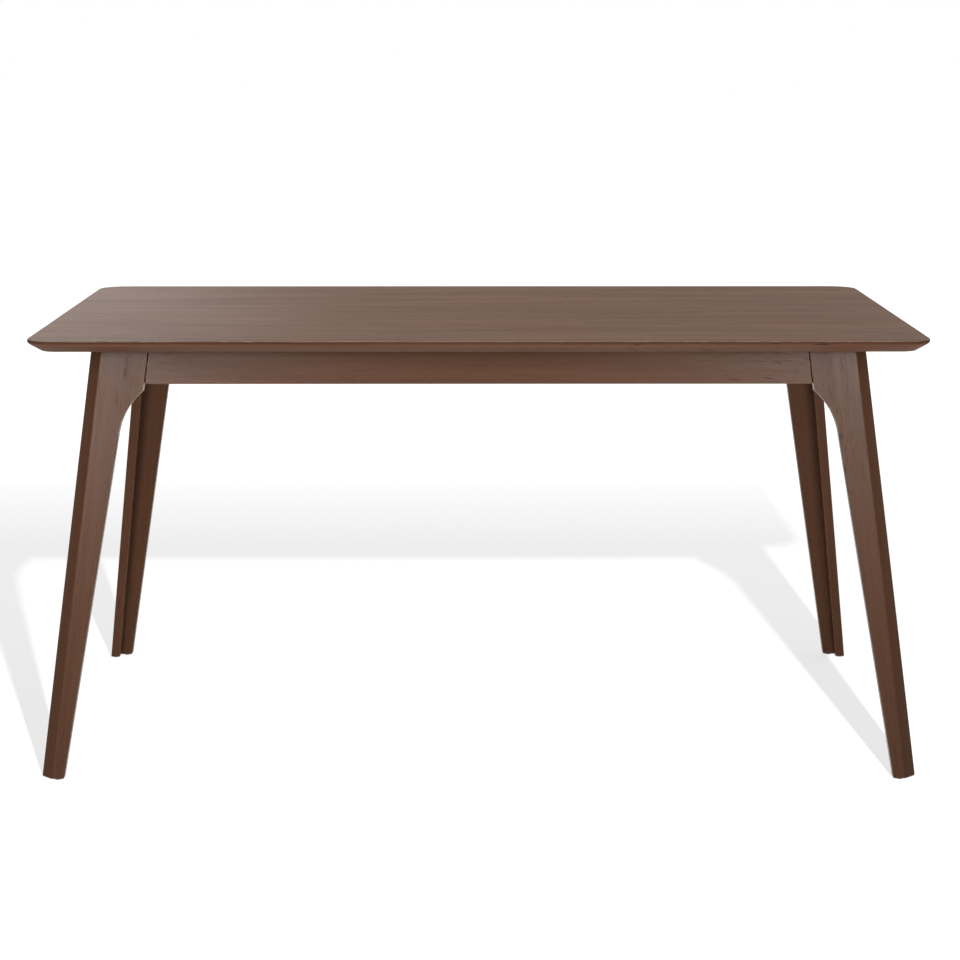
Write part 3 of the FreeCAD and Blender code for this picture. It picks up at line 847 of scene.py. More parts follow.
class Workbench:
    """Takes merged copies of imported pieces, eases their edges and hands over the finished pieces."""

    SEED = 11
    GRAIN_SPAN = 4.0

    def __init__(self, nodes: dict[str, Piece], finishes: Finishes) -> None:
        """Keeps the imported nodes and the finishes, and starts the draw of grain offsets.

        Args:
            nodes: packed objects by name.
            finishes: the finishes.
        """
        self.nodes = nodes
        self.finishes = finishes
        self.random = np.random.default_rng(self.SEED)
        self.axes: list[Solid] = []

    def merged(self, node: str) -> Draft:
        """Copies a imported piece's mesh and merges its loose triangles.

        Args:
            node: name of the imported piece.

        Returns:
            The merged copy.
        """
        bm = bmesh.new()
        bm.from_mesh(self.nodes[node].data)
        bmesh.ops.remove_doubles(bm, verts=bm.verts, dist=MERGE_DISTANCE)
        return bm

    def solids(self, node: str) -> list[Solid]:
        """Places of the separate fasteners of a packed group, which are kept as the axes of their holes.

        Args:
            node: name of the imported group.

        Returns:
            The places.
        """
        bm = self.merged(node)
        found = sorted((place_of(points) for points in islands(bm)), key=lambda solid: solid.start[:])
        bm.free()
        self.axes.extend(found)
        return found

    def at_hole(self, edge: Edge) -> bool:
        """Whether an edge belongs to the hole of a fastener."""
        return any(axis.distance(vertex.co) < HOLE_REACH for axis in self.axes for vertex in edge.verts)

    def eased(
        self, node: str, width: float, share: EdgeRule, segments: int = 3, level: float | None = None
    ) -> Piece:
        """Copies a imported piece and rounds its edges.

        Args:
            node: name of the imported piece.
            width: widest rounding.
            share: gives an edge's share of that width.
            segments: steps of the rounding.
            level: height at which its faces are divided, if any.

        Returns:
            The new piece, with a mark on its rounded faces.
        """
        bm = self.merged(node)
        bmesh.ops.dissolve_limit(bm, angle_limit=FLAT_ANGLE, verts=bm.verts, edges=bm.edges)
        if level is not None:
            geometry = [*bm.verts, *bm.edges, *bm.faces]
            bmesh.ops.bisect_plane(bm, geom=geometry, plane_co=UP * level, plane_no=UP)
        weights = bm.edges.layers.float.new("bevel_weight_edge")
        for edge in bm.edges:
            if edge.is_manifold and edge.calc_face_angle() > EASED_ANGLE and not self.at_hole(edge):
                edge[weights] = share(edge)
        name = node + "_finished"
        piece = linked(name, mesh_of(name, bm))
        for _ in range(2):
            piece.data.materials.append(None)
        rounding = piece.modifiers.new("rounding", "BEVEL")
        rounding.limit_method = "WEIGHT"
        rounding.width = width
        rounding.segments = segments
        rounding.use_clamp_overlap = False
        rounding.material = 1
        plain_mesh(piece)
        self.mark_eased(piece)
        smooth_curves(piece)
        return piece

    @staticmethod
    def mark_eased(piece: Piece) -> None:
        """Keeps which faces are rounded as an attribute, and leaves one material place.

        Args:
            piece: object whose rounded faces have the second material.
        """
        mesh = piece.data
        places = np.zeros(len(mesh.polygons), np.int32)
        mesh.polygons.foreach_get("material_index", places)
        mark = mesh.attributes.new(EASED, "FLOAT", "FACE")
        mark.data.foreach_set("value", places.astype(np.float32))
        mesh.polygons.foreach_set("material_index", np.zeros_like(places))
        mesh.materials.clear()

    @staticmethod
    def mark(piece: Piece, name: str, rule: FaceRule) -> None:
        """Sets a mark on each face of a piece.

        Args:
            piece: object to mark.
            name: attribute that keeps the mark.
            rule: gives the mark from a face and the mark that it has.
        """
        mesh = piece.data
        layer = mesh.attributes.get(name) or mesh.attributes.new(name, "FLOAT", "FACE")
        kept = np.zeros(len(mesh.polygons), np.float32)
        layer.data.foreach_get("value", kept)
        layer.data.foreach_set("value", [rule(face, old) for face, old in zip(mesh.polygons, kept)])

    def run_grain(self, piece: Piece, along: Vector) -> None:
        """Gives each point of a piece its place in the grain, with an offset of its own.

        Args:
            piece: object to mark.
            along: direction of the grain.
        """
        mesh = piece.data
        points = np.zeros(len(mesh.vertices) * 3, np.float32)
        mesh.vertices.foreach_get("co", points)
        offset = self.random.uniform(-self.GRAIN_SPAN, self.GRAIN_SPAN, 3)
        placed = points.reshape(-1, 3) @ np.array(grain_frame(along)).T + offset
        attribute = mesh.attributes.new(GRAIN, "FLOAT_VECTOR", "POINT")
        attribute.data.foreach_set("vector", placed.astype(np.float32).ravel())

    def hand_over(self, piece: Piece, slot: str, node: str, finish: str | None = None) -> None:
        """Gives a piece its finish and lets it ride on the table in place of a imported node.

        Args:
            piece: finished object.
            slot: slot of its finish.
            node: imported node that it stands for.
            finish: name of the finish, where it isn't the slot's own.
        """
        piece.data.materials.clear()
        piece.data.materials.append(self.finishes[finish or slot])
        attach(piece, ROOT)
        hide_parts(node)
        log.info("%s: %d faces, %s, for %s", piece.name, len(piece.data.polygons), slot, node)

    def dress(self, node: str, slot: str) -> None:
        """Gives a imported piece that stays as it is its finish.

        Args:
            node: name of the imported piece.
            slot: slot of its finish.
        """
        materials = self.nodes[node].data.materials
        materials.clear()
        materials.append(self.finishes[slot])
        log.info("%s: packed shape, %s", node, slot)


def set_inputs(modifier: bpy.types.NodesModifier, values: dict[str, object]) -> None:
    """Sets a geometry tree's inputs by their sockets' identifiers.

    Args:
        modifier: modifier that holds the tree.
        values: values by input name.
    """
    for item in modifier.node_group.interface.items_tree:
        if item.item_type == "SOCKET" and item.in_out == "INPUT" and item.name in values:
            modifier[item.identifier] = values[item.name]


def grown(name: str, tree: Tree, values: dict[str, object], seed_mesh: Mesh) -> Piece:
    """Grows a piece with a geometry tree and settles it as a plain mesh.

    Args:
        name: name of the piece.
        tree: geometry tree.
        values: the tree's inputs by name.
        seed_mesh: mesh that the tree starts from.

    Returns:
        The piece.
    """
    piece = linked(name, seed_mesh)
    modifier = piece.modifiers.new("rule", "NODES")
    modifier.node_group = tree
    set_inputs(modifier, values)
    plain_mesh(piece)
    return piece


def face_outwards(piece: Piece) -> None:
    """Merges doubles and turns every face of a closed piece outwards.

    Args:
        piece: object to mend.
    """
    bm = bmesh.new()
    bm.from_mesh(piece.data)
    bmesh.ops.remove_doubles(bm, verts=bm.verts, dist=FINE_MERGE_DISTANCE)
    bmesh.ops.recalc_face_normals(bm, faces=bm.faces)
    bm.to_mesh(piece.data)
    bm.free()


def end_geometry_tree(sheet: Sheet, given: Node, out: Node, geometry: Socket) -> Tree:
    """Ends a geometry tree: its instances are made real and get their material.

    Args:
        sheet: the tree's sheet.
        given: its input node.
        out: its output node.
        geometry: what it has made.

    Returns:
        The tree.
    """
    real = sheet.first("GeometryNodeRealizeInstances", {"Geometry": geometry})
    material = given.outputs["Material"]
    dressed = sheet.first("GeometryNodeSetMaterial", {"Geometry": real, "Material": material})
    sheet.feed(out.inputs["Geometry"], dressed)
    return sheet.tree


def stored(sheet: Sheet, geometry: Socket, name: str, value: Socket, kind: str = "FLOAT") -> Socket:
    """Stores a value on each point of a geometry."""
    inputs = {"Geometry": geometry, "Name": name, "Value": value}
    return sheet.first("GeometryNodeStoreNamedAttribute", inputs, data_type=kind, domain="POINT")


def read_back(sheet: Sheet, name: str, kind: str = "FLOAT") -> Socket:
    """Reads a stored value."""
    return sheet.add("GeometryNodeInputNamedAttribute", {"Name": name}, data_type=kind).outputs["Attribute"]


def lipping_tree() -> Tree:
    """Rule of a lipping: a profile that follows one side of the top and half of each round corner.

    Returns:
        The geometry tree.
    """
    sheet, given, out = start_tree(
        "lipping_sweep", "GeometryNodeTree",
        [("Geometry", GEOMETRY, None), ("Profile", OBJECT, None), ("Half Run", NUMBER, 0.7),
         ("Half Stand", NUMBER, 0.4), ("Corner Radius", NUMBER, 0.05), ("Corner Steps", WHOLE, 12),
         ("Core Inset", NUMBER, 0.042), ("Turn", NUMBER, 0.0), ("Material", MATERIAL, None)],
        [("Geometry", GEOMETRY)],
    )
    # Path: the points of two half corners, with the angle and the side of each
    steps = given.outputs["Corner Steps"]
    radius = given.outputs["Corner Radius"]
    count = sheet.math("ADD", sheet.math("MULTIPLY", steps, 2.0), 2.0)
    path = sheet.first("GeometryNodeMeshLine", {"Count": count, "Offset": (0.01, 0.0, 0.0)})
    index = sheet.first("GeometryNodeInputIndex")
    right = sheet.math("GREATER_THAN", index, steps)
    left = sheet.math("SUBTRACT", 1.0, right)
    run_in = sheet.math("SUBTRACT", sheet.math("DIVIDE", index, steps), 1.0)
    past = sheet.math("SUBTRACT", sheet.math("SUBTRACT", index, steps), 1.0)
    run_out = sheet.math("DIVIDE", past, steps)
    share = sheet.math("ADD", sheet.math("MULTIPLY", right, run_out), sheet.math("MULTIPLY", left, run_in))
    angle = sheet.math("MULTIPLY", share, math.pi / 4)
    side = sheet.math("SUBTRACT", sheet.math("MULTIPLY", right, 2.0), 1.0)
    with_angle = stored(sheet, path, CORNER_ANGLE, angle)
    rail = sheet.first("GeometryNodeMeshToCurve", {"Mesh": stored(sheet, with_angle, CORNER_SIDE, side)})

    # Profile: swept along the path, with each point's inset and height
    drawn = sheet.add("GeometryNodeObjectInfo", {"Object": given.outputs["Profile"]}).outputs["Geometry"]
    position = sheet.first("GeometryNodeInputPosition")
    with_place = stored(sheet, drawn, PROFILE_PLACE, position, "FLOAT_VECTOR")
    profile = sheet.first("GeometryNodeMeshToCurve", {"Mesh": with_place})
    swept = sheet.first("GeometryNodeCurveToMesh", {
        "Curve": rail, "Profile Curve": profile, "Fill Caps": True})

    # Place: round the corner's centre, and straight to the mitre along the core
    turned_by = read_back(sheet, CORNER_ANGLE)
    place = sheet.add("ShaderNodeSeparateXYZ", {"Vector": read_back(sheet, PROFILE_PLACE, "FLOAT_VECTOR")})
    inset = place.outputs["X"]
    core_line = sheet.math("SUBTRACT", given.outputs["Core Inset"], MERGE_DISTANCE)
    at_core = sheet.math("GREATER_THAN", inset, core_line)
    cosine = sheet.math("COSINE", turned_by)
    longer = sheet.math("SUBTRACT", sheet.math("DIVIDE", 1.0, cosine), 1.0)
    factor = sheet.math("ADD", 1.0, sheet.math("MULTIPLY", at_core, longer))
    reach = sheet.math("MULTIPLY", sheet.math("SUBTRACT", radius, inset), factor)
    half_straight = sheet.math("SUBTRACT", given.outputs["Half Run"], radius)
    centre_x = sheet.math("MULTIPLY", read_back(sheet, CORNER_SIDE), half_straight)
    centre_y = sheet.math("SUBTRACT", given.outputs["Half Stand"], radius)
    spot_x = sheet.math("ADD", centre_x, sheet.math("MULTIPLY", reach, sheet.math("SINE", turned_by)))
    spot_y = sheet.math("ADD", centre_y, sheet.math("MULTIPLY", reach, cosine))
    spot = sheet.combined(spot_x, spot_y, place.outputs["Y"])
    bent = sheet.first("GeometryNodeSetPosition", {"Geometry": swept, "Position": spot})
    turn = sheet.combined(z=given.outputs["Turn"])
    placed = sheet.first("GeometryNodeTransform", {"Geometry": bent, "Rotation": turn})
    return end_geometry_tree(sheet, given, out, placed)


def fastener_tree() -> Tree:
    """Rule of a set of fasteners: one at each point, turned to face its hole, with its own twist.

    Returns:
        The geometry tree.
    """
    sheet, given, out = start_tree(
        "fastener_set", "GeometryNodeTree",
        [("Geometry", GEOMETRY, None), ("Fastener", OBJECT, None), ("Twist", NUMBER, 0.0), ("Seed", WHOLE, 0),
         ("Material", MATERIAL, None)],
        [("Geometry", GEOMETRY)],
    )
    facing = read_back(sheet, FACING, "FLOAT_VECTOR")
    aimed = sheet.first("FunctionNodeAlignRotationToVector", {"Vector": facing}, axis="Z")
    draw = sheet.add("FunctionNodeRandomValue", {"Seed": given.outputs["Seed"]}, data_type="FLOAT")
    most = next(socket for socket in draw.inputs if socket.name == "Max" and socket.type == "VALUE")
    sheet.feed(most, given.outputs["Twist"])
    drawn = next(socket for socket in draw.outputs if socket.type == "VALUE")
    twist = sheet.first("FunctionNodeAxisAngleToRotation", {"Axis": (0.0, 0.0, 1.0), "Angle": drawn})
    rotation = sheet.first(
        "FunctionNodeRotateRotation", {"Rotation": aimed, "Rotate By": twist}, rotation_space="LOCAL")
    model = sheet.add("GeometryNodeObjectInfo", {"Object": given.outputs["Fastener"]}).outputs["Geometry"]
    spread = sheet.first("GeometryNodeInstanceOnPoints", {
        "Points": given.outputs["Geometry"], "Instance": model, "Rotation": rotation})
    return end_geometry_tree(sheet, given, out, spread)


@dataclass
class Tabletop:
    """The veneered top: core, two veneers and four lippings with a bevel under their edge.

    A rise is the upward part of a face's normal, and it tells face, arris, edge and bevel apart.
    """

    half_length: float = 0.750
    half_width: float = 0.450
    height: float = 0.752
    thickness: float = 0.020
    veneer: float = 0.0006
    corner_radius: float = 0.050
    corner_steps: int = 12
    edge_flat: float = 0.0065
    undercut: float = 0.023
    core_inset: float = 0.042
    arris: float = 0.0020
    arris_steps: int = 5
    lower_arris: float = 0.0025
    lower_steps: int = 4
    face_rise: float = 0.98
    arris_rise: float = 0.55
    veneer_edge_rise: float = 0.05
    bevel_rise: float = -0.35
    # Painted shade on the lipping's edge flat
    edge_stain: float = 0.6

    def arris_inset(self, drop: float) -> float:
        """How far the rounded upper arris is set in at a depth below the top."""
        return self.arris - math.sqrt(self.arris**2 - (self.arris - drop) ** 2)

    def outline(self, inset: float) -> list[Flat]:
        """Plan outline of the top, set in by some amount.

        Args:
            inset: distance from the outer edge.

        Returns:
            Points round the outline.
        """
        radius = self.corner_radius - inset
        steps = 2 * self.corner_steps
        points = []
        for quarter, (side_x, side_y) in enumerate(((1, 1), (-1, 1), (-1, -1), (1, -1))):
            centre_x = side_x * (self.half_length - self.corner_radius)
            centre_y = side_y * (self.half_width - self.corner_radius)
            for step in range(steps + 1):
                angle = QUARTER_TURN * (quarter + step / steps)
                points.append((centre_x + radius * math.cos(angle), centre_y + radius * math.sin(angle)))
        return points

    def veneer_rings(self) -> list[Flat]:
        """Rings of the face veneer, from its glued side over its arris to its face.

        Returns:
            Inset and height of each ring.
        """
        rings = [(self.corner_radius, self.height - self.veneer)]
        for step in range(self.arris_steps + 1):
            drop = self.veneer * (1 - step / self.arris_steps)
            rings.append((self.arris_inset(drop), self.height - drop))
        return rings + [(self.corner_radius, self.height)]

    def build_face(self, bench: Workbench) -> None:
        """Builds the face veneer with its rounded arris.

        Args:
            bench: the workbench.
        """
        bm = bmesh.new()
        rings = []
        for inset, height in self.veneer_rings():
            rings.append([bm.verts.new((x, y, height)) for x, y in self.outline(inset)])
        for lower, upper in zip(rings, rings[1:]):
            bridge(bm, lower, upper)
        for ring in (rings[0], rings[-1]):
            bm.faces.new(ring[:: 2 * self.corner_steps + 1])
        bmesh.ops.remove_doubles(bm, verts=bm.verts, dist=MERGE_DISTANCE)
        bmesh.ops.recalc_face_normals(bm, faces=bm.faces)
        piece = linked("top_face_veneer_finished", mesh_of("top_face_veneer_finished", bm))
        # Painted highlight on the veneer's arris
        bench.mark(piece, EASED, lambda face, _: float(
            self.veneer_edge_rise < face.normal.z < self.face_rise))
        smooth_curves(piece)
        bench.run_grain(piece, LENGTHWISE)
        bench.hand_over(piece, WALNUT_VENEER.name, "top_face_veneer")

    def lipping_profile(self) -> Piece:
        """Draws a lipping's profile as a closed line: inset along X and height along Y.

        Returns:
            The line as an object, to be removed after use.
        """
        top = self.height - self.veneer
        bottom = self.height - self.thickness + self.veneer
        slope = self.undercut / (self.thickness - self.edge_flat)
        bevel_top = self.height - self.edge_flat
        points = [(self.core_inset, top)]
        for step in range(self.arris_steps + 1):
            drop = self.veneer + (self.arris - self.veneer) * step / self.arris_steps
            points.append((self.arris_inset(drop), self.height - drop))
        for step in range(self.lower_steps + 1):
            along = step / self.lower_steps
            inset = self.lower_arris * slope * along * along
            points.append((inset, bevel_top + self.lower_arris * (1 - 2 * along)))
        points.append((slope * (bevel_top - bottom), bottom))
        points.append((self.core_inset, bottom))
        mesh = bpy.data.meshes.new("lipping_profile")
        ring = [(index, (index + 1) % len(points)) for index in range(len(points))]
        mesh.from_pydata([(inset, height, 0.0) for inset, height in points], ring, [])
        return linked("lipping_profile", mesh)

    def build_lippings(self, bench: Workbench) -> None:
        """Sweeps the four lippings along the sides of the top.

        Args:
            bench: the workbench.
        """
        tree = lipping_tree()
        profile = self.lipping_profile()
        for quarter, side in enumerate(("back", "left", "front", "right")):
            node = f"top_{side}_lipping"
            name = node + "_finished"
            lengthwise = quarter % 2 == 0
            values = {
                "Profile": profile,
                "Half Run": self.half_length if lengthwise else self.half_width,
                "Half Stand": self.half_width if lengthwise else self.half_length,
                "Corner Radius": self.corner_radius, "Corner Steps": self.corner_steps,
                "Core Inset": self.core_inset, "Turn": quarter * QUARTER_TURN,
                "Material": bench.finishes[PAINTED_LIGHT_LIPPING.name]}
            piece = grown(name, tree, values, bpy.data.meshes.new(name))
            for attribute in (CORNER_ANGLE, CORNER_SIDE, PROFILE_PLACE):
                piece.data.attributes.remove(piece.data.attributes[attribute])
            face_outwards(piece)
            # Painted highlight on the lipping's arris
            bench.mark(piece, EASED, lambda face, _: float(self.arris_rise < face.normal.z < self.face_rise))
            # Painted shade on the lipping's edge flat below the arris
            bench.mark(piece, PAINTED_SHADE, lambda face, _: (
                self.edge_stain * (self.bevel_rise < face.normal.z <= self.arris_rise)))
            smooth_curves(piece)
            bench.run_grain(piece, LENGTHWISE if lengthwise else CROSSWISE)
            bench.hand_over(piece, STAINED_WOOD.name, node, PAINTED_LIGHT_LIPPING.name)
        bpy.data.objects.remove(profile)

    def build(self, bench: Workbench) -> None:
        """Builds and dresses the top.

        Args:
            bench: the workbench.
        """
        self.build_face(bench)
        self.build_lippings(bench)
        bench.dress("top_core_panel", CORE_BOARD.name)
        bench.dress("top_backing_veneer", BACKING_VENEER.name)


@dataclass
class Legs:
    """Four splayed legs, each an L of two boards that meet in a mitre."""

    foot_level: float = 0.0015
    splay: float = math.radians(7.1)
    mitre_offset: float = 0.308
    foot_easing: float = 0.003
    arris_easing: float = 0.0016
    seam_easing: float = 0.0003
    easing_steps: int = 4
    ear_level: float = 0.655
    rail_level: float = 0.668
    curve_level: float = 0.560
    turned_in: float = 0.3
    # Lightening of eased faces away from the ear: scuffs and painted highlight
    wear_elsewhere: float = 0.12
    # Painted shade on the chamfers
    chamfer_stain: float = 0.4
    stain_start: float = 0.72
    stain_span: float = 0.25

    def edge_share(self, corner: Corner, inward: Vector, edge: Edge) -> float:
        """Says how much an edge is rounded: none on the mitre or under the top, least at the seam.

        Args:
            corner: the leg's corner.
            inward: direction from the leg along the rail.
            edge: edge of a board.

        Returns:
            Its share of the foot's rounding.
        """
        side_x, side_y = corner.value
        points = [vertex.co for vertex in edge.verts]
        off_mitre = [abs(side_x * p.x - side_y * p.y - self.mitre_offset) for p in points]
        if max(off_mitre) < LEVEL_TOLERANCE or under_top(edge):
            return 0.0
        if all(p.z < self.foot_level + LEVEL_TOLERANCE for p in points):
            return 1.0
        at_ear = all(p.z > self.ear_level for p in points)
        if at_ear and faces_along(edge, inward):
            return self.seam_easing / self.foot_easing
        return self.arris_easing / self.foot_easing

    def rubbing(self, inward: Vector, face: Face, eased: float) -> float:
        """Says how much a rounded face is lightened: all on the curve under the ear, a painted highlight, and
        little elsewhere, scuffs and painted highlight.

        Args:
            inward: direction from the leg along the rail.
            face: face of a board.
            eased: the mark that it has.

        Returns:
            Its new mark.
        """
        at_ear = self.curve_level < face.center.z < self.rail_level
        turned_in = face.normal.dot(inward) - face.normal.z > self.turned_in
        return eased * (1.0 if at_ear and turned_in else self.wear_elsewhere)

    def staining(self, corner: Corner, inward: Vector, face: Face, _: float) -> float:
        """Says how much painted shade a face gets: all in the bare seam, where shade falls in the gap, and
        more the more a face turns to the corner, on the chamfer.

        Args:
            corner: the leg's corner.
            inward: direction from the leg along the rail.
            face: face of a board.

        Returns:
            Its mark.
        """
        if face.normal.dot(inward) > ALONG_COSINE and face.center.z > self.rail_level:
            return 1.0
        outward = Vector((*corner.value, 0)).normalized()
        turned_out = (face.normal.dot(outward) - self.stain_start) / self.stain_span
        return self.chamfer_stain * min(max(turned_out, 0.0), 1.0)

    def build(self, bench: Workbench) -> None:
        """Builds and dresses the leg boards.

        Args:
            bench: the workbench.
        """
        lean = math.tan(self.splay)
        for corner in Corner:
            side_x, side_y = corner.value
            along = Vector((-side_x * lean, -side_y * lean, 1.0))
            inward = {"face": Vector((-side_x, 0, 0)), "side": Vector((0, -side_y, 0))}
            for board, direction in inward.items():
                node = f"{corner.label}_leg_{board}_board"
                share = partial(self.edge_share, corner, direction)
                piece = bench.eased(node, self.foot_easing, share, self.easing_steps, self.rail_level)
                # Painted highlight on the eased faces of the ear curve
                bench.mark(piece, EASED, partial(self.rubbing, direction))
                # Painted shade in the seams and on the chamfers
                bench.mark(piece, PAINTED_SHADE, partial(self.staining, corner, direction))
                bench.run_grain(piece, along)
                bench.hand_over(piece, STAINED_WOOD.name, node)


@dataclass
class Rails:
    """Four leaning rails between the ears of the legs."""

    easing: float = 0.0012
    seam_easing: float = 0.0003
    wear: float = 0.12

    def edge_share(self, along: Vector, edge: Edge) -> float:
        """Says how much an edge is rounded: none under the top, little at the seams and all elsewhere.

        Args:
            along: direction of the rail.
            edge: edge of the rail.

        Returns:
            Its share of the rounding.
        """
        if under_top(edge):
            return 0.0
        at_end = faces_along(edge, along) or faces_along(edge, -along)
        return self.seam_easing / self.easing if at_end else 1.0

    def build(self, bench: Workbench) -> None:
        """Builds and dresses the rails.

        Args:
            bench: the workbench.
        """
        runs = {"front": LENGTHWISE, "back": LENGTHWISE, "left": CROSSWISE, "right": CROSSWISE}
        for side, along in runs.items():
            node = side + "_rail"
            piece = bench.eased(node, self.easing, partial(self.edge_share, along))
            # Scuffs and painted highlight on the eased edges
            bench.mark(piece, EASED, lambda _, eased: eased * self.wear)
            # Painted shade on the rail's ends in the seams
            bench.mark(piece, PAINTED_SHADE, lambda face, _: float(abs(face.normal.dot(along)) > ALONG_COSINE))
            bench.run_grain(piece, along)
            bench.hand_over(piece, STAINED_WOOD.name, node)


@dataclass
class UnderFrame:
    """What holds the legs and the top from below: corner blocks, braces, battens and the cross rail."""

    easing: float = 0.0010

    @staticmethod
    def edge_share(edge: Edge) -> float:
        """Nothing under the top, all elsewhere."""
        return 0.0 if under_top(edge) else 1.0

    def build(self, bench: Workbench) -> None:
        """Builds and dresses the pieces of the frame.

        Args:
            bench: the workbench.
        """
        runs = {"centre_cross_rail": CROSSWISE, "left_end_batten": CROSSWISE, "right_end_batten": CROSSWISE}
        for corner in Corner:
            side_x, side_y = corner.value
            runs[corner.label + "_top_batten"] = LENGTHWISE
            runs[corner.label + "_leg_corner_block"] = UP
            runs[corner.label + "_corner_brace"] = Vector((side_x, -side_y, 0))
        for node, along in runs.items():
            piece = bench.eased(node, self.easing, self.edge_share)
            bench.run_grain(piece, along)
            bench.hand_over(piece, FRAME_WOOD.name, node)


def turned(name: str, rings: Sequence[Ring], segments: int, flutes: int = 0) -> Piece:
    """Turns a closed round piece along +Z, with a thread or flutes where its rings ask for them.

    Args:
        name: name of the piece.
        rings: height, radius, depth of a thread or flute and pitch of the thread of each ring.
        segments: points round each ring.
        flutes: number of flutes round the piece, or 0 for a thread.

    Returns:
        The piece, whose first and last rings are closed by flat faces.
    """
    bm = bmesh.new()
    made = []
    for height, radius, depth, pitch in rings:
        ring = []
        for index in range(segments):
            share = index / segments
            wave = share * flutes if flutes else height / pitch - share
            reach = radius - depth * abs(2 * (wave % 1.0) - 1)
            angle = FULL_TURN * share
            ring.append(bm.verts.new((reach * math.cos(angle), reach * math.sin(angle), height)))
        made.append(ring)
    for lower, upper in zip(made, made[1:]):
        bridge(bm, lower, upper)
    bm.faces.new(made[0][::-1])
    bm.faces.new(made[-1])
    bmesh.ops.recalc_face_normals(bm, faces=bm.faces)
    return linked(name, mesh_of(name, bm))


def plain(height: float, radius: float) -> Ring:
    """A ring without a thread."""
    return (height, radius, 0.0, 1.0)


def thread(start: float, end: float, radius: float, depth: float, pitch: float, steps: int = 4) -> list[Ring]:
    """Rings of a thread, by its ends, crest radius, groove depth, rise of a turn and rings to a turn."""
    count = max(2, round((end - start) / pitch * steps))
    return [(start + (end - start) * index / count, radius, depth, pitch) for index in range(count + 1)]


def bored(name: str, loops: Sequence[list[Place]]) -> Piece:
    """Closed ring-shaped piece over loops that go round its section.

    Args:
        name: name of the piece.
        loops: points of each loop, all of one length, in order round the section.

    Returns:
        The piece.
    """
    bm = bmesh.new()
    made = [[bm.verts.new(point) for point in loop] for loop in loops]
    for one, two in zip(made, made[1:] + made[:1]):
        bridge(bm, one, two)
    bmesh.ops.recalc_face_normals(bm, faces=bm.faces)
    return linked(name, mesh_of(name, bm))


def circle(radius: float, height: float, segments: int) -> list[Place]:
    """Points of a level circle."""
    turns = [FULL_TURN * index / segments for index in range(segments)]
    return [(radius * math.cos(turn), radius * math.sin(turn), height) for turn in turns]


@dataclass(frozen=True)
class Screw:
    """Countersunk wood screw with a cross recess."""

    rim_radius: float = 0.00382
    rim_height: float = 0.00012
    head_radius: float = 0.00396
    head_height: float = 0.0024
    collar_height: float = 0.00228
    collar_radius: float = 0.0021
    neck_radius: float = 0.0017
    neck_easing: float = 0.0004
    smooth_share: float = 0.3
    thread_radius: float = 0.002
    thread_depth: float = 0.0006
    thread_pitch: float = 0.0018
    thread_runout: float = 0.0008
    tip_length: float = 0.004
    tip_radius: float = 0.0009
    point_radius: float = 0.0001
    segments: int = 16
    recess_span: float = 0.0044
    recess_width: float = 0.0011
    recess_depth: float = 0.0019
    cutter_overlap: float = 0.0002
    mouth_scale: float = 1.05
    floor_scale: float = 0.45

    def recess(self) -> Piece:
        """Tapered cross that is cut into the head.

        Returns:
            The cutter.
        """
        bm = bmesh.new()
        loops = []
        mouth = (-self.cutter_overlap, self.mouth_scale)
        for height, scale in (mouth, (self.recess_depth, self.floor_scale)):
            span = self.recess_span / 2 * scale
            half = self.recess_width / 2 * (1 + scale) / 2
            loop = []
            for quarter in range(4):
                turn = Matrix.Rotation(quarter * QUARTER_TURN, 3, "Z")
                for x, y in ((half, -half), (span, -half), (span, half)):
                    loop.append(bm.verts.new(turn @ Vector((x, y, height))))
            loops.append(loop)
        bridge(bm, *loops)
        for loop in loops:
            bm.faces.new(loop)
        bmesh.ops.recalc_face_normals(bm, faces=bm.faces)
        return linked("recess_cutter", mesh_of("recess_cutter", bm))

    def model(self, length: float) -> Piece:
        """Makes one screw.

        Args:
            length: its length.

        Returns:
            The model, with the middle of its head at the origin.
        """
        start = self.head_height + (length - self.head_height) * self.smooth_share
        rings = [
            plain(0.0, self.rim_radius), plain(self.rim_height, self.head_radius),
            plain(self.collar_height, self.collar_radius),
            plain(self.head_height + self.neck_easing, self.neck_radius),
            plain(start - self.thread_runout, self.neck_radius)]
        rings += thread(
            start, length - self.tip_length, self.thread_radius, self.thread_depth, self.thread_pitch)
        rings += [plain(length - self.tip_length / 2, self.tip_radius), plain(length, self.point_radius)]
        model = turned("screw_model", rings, self.segments)
        cutter = self.recess()
        cut = model.modifiers.new("recess", "BOOLEAN")
        cut.operation = "DIFFERENCE"
        cut.solver = "EXACT"
        cut.object = cutter
        plain_mesh(model)
        bpy.data.objects.remove(cutter)
        return model


@dataclass(frozen=True)
class HangerBolt:
    """Hanger bolt: machine thread at its free end, plain middle and coarse thread in the wood."""

    radius: float = 0.004
    core_radius: float = 0.0036
    end_radius: float = 0.00288
    end_chamfer: float = 0.0008
    thread_start: float = 0.001
    thread_runout: float = 0.001
    machine_share: float = 0.42
    machine_depth: float = 0.0006
    machine_pitch: float = 0.00125
    wood_share: float = 0.62
    wood_depth: float = 0.0012
    wood_pitch: float = 0.0032
    wood_steps: int = 6
    taper_length: float = 0.006
    taper_radius: float = 0.002
    tip_radius: float = 0.00048
    segments: int = 18

    def model(self, length: float) -> Piece:
        """Makes one bolt.

        Args:
            length: its length.

        Returns:
            The model, with its free end at the origin.
        """
        machine = length * self.machine_share
        wood = length * self.wood_share
        taper = length - self.taper_length
        rings = [plain(0.0, self.end_radius), plain(self.end_chamfer, self.core_radius)]
        rings += thread(self.thread_start, machine, self.radius, self.machine_depth, self.machine_pitch)
        rings += [plain(machine + self.thread_runout, self.core_radius)]
        rings += [plain(wood - self.thread_runout, self.core_radius)]
        rings += thread(wood, taper, self.radius, self.wood_depth, self.wood_pitch, self.wood_steps)
        rings += [plain(length - self.taper_length / 2, self.taper_radius), plain(length, self.tip_radius)]
        return turned("bolt_model", rings, self.segments)


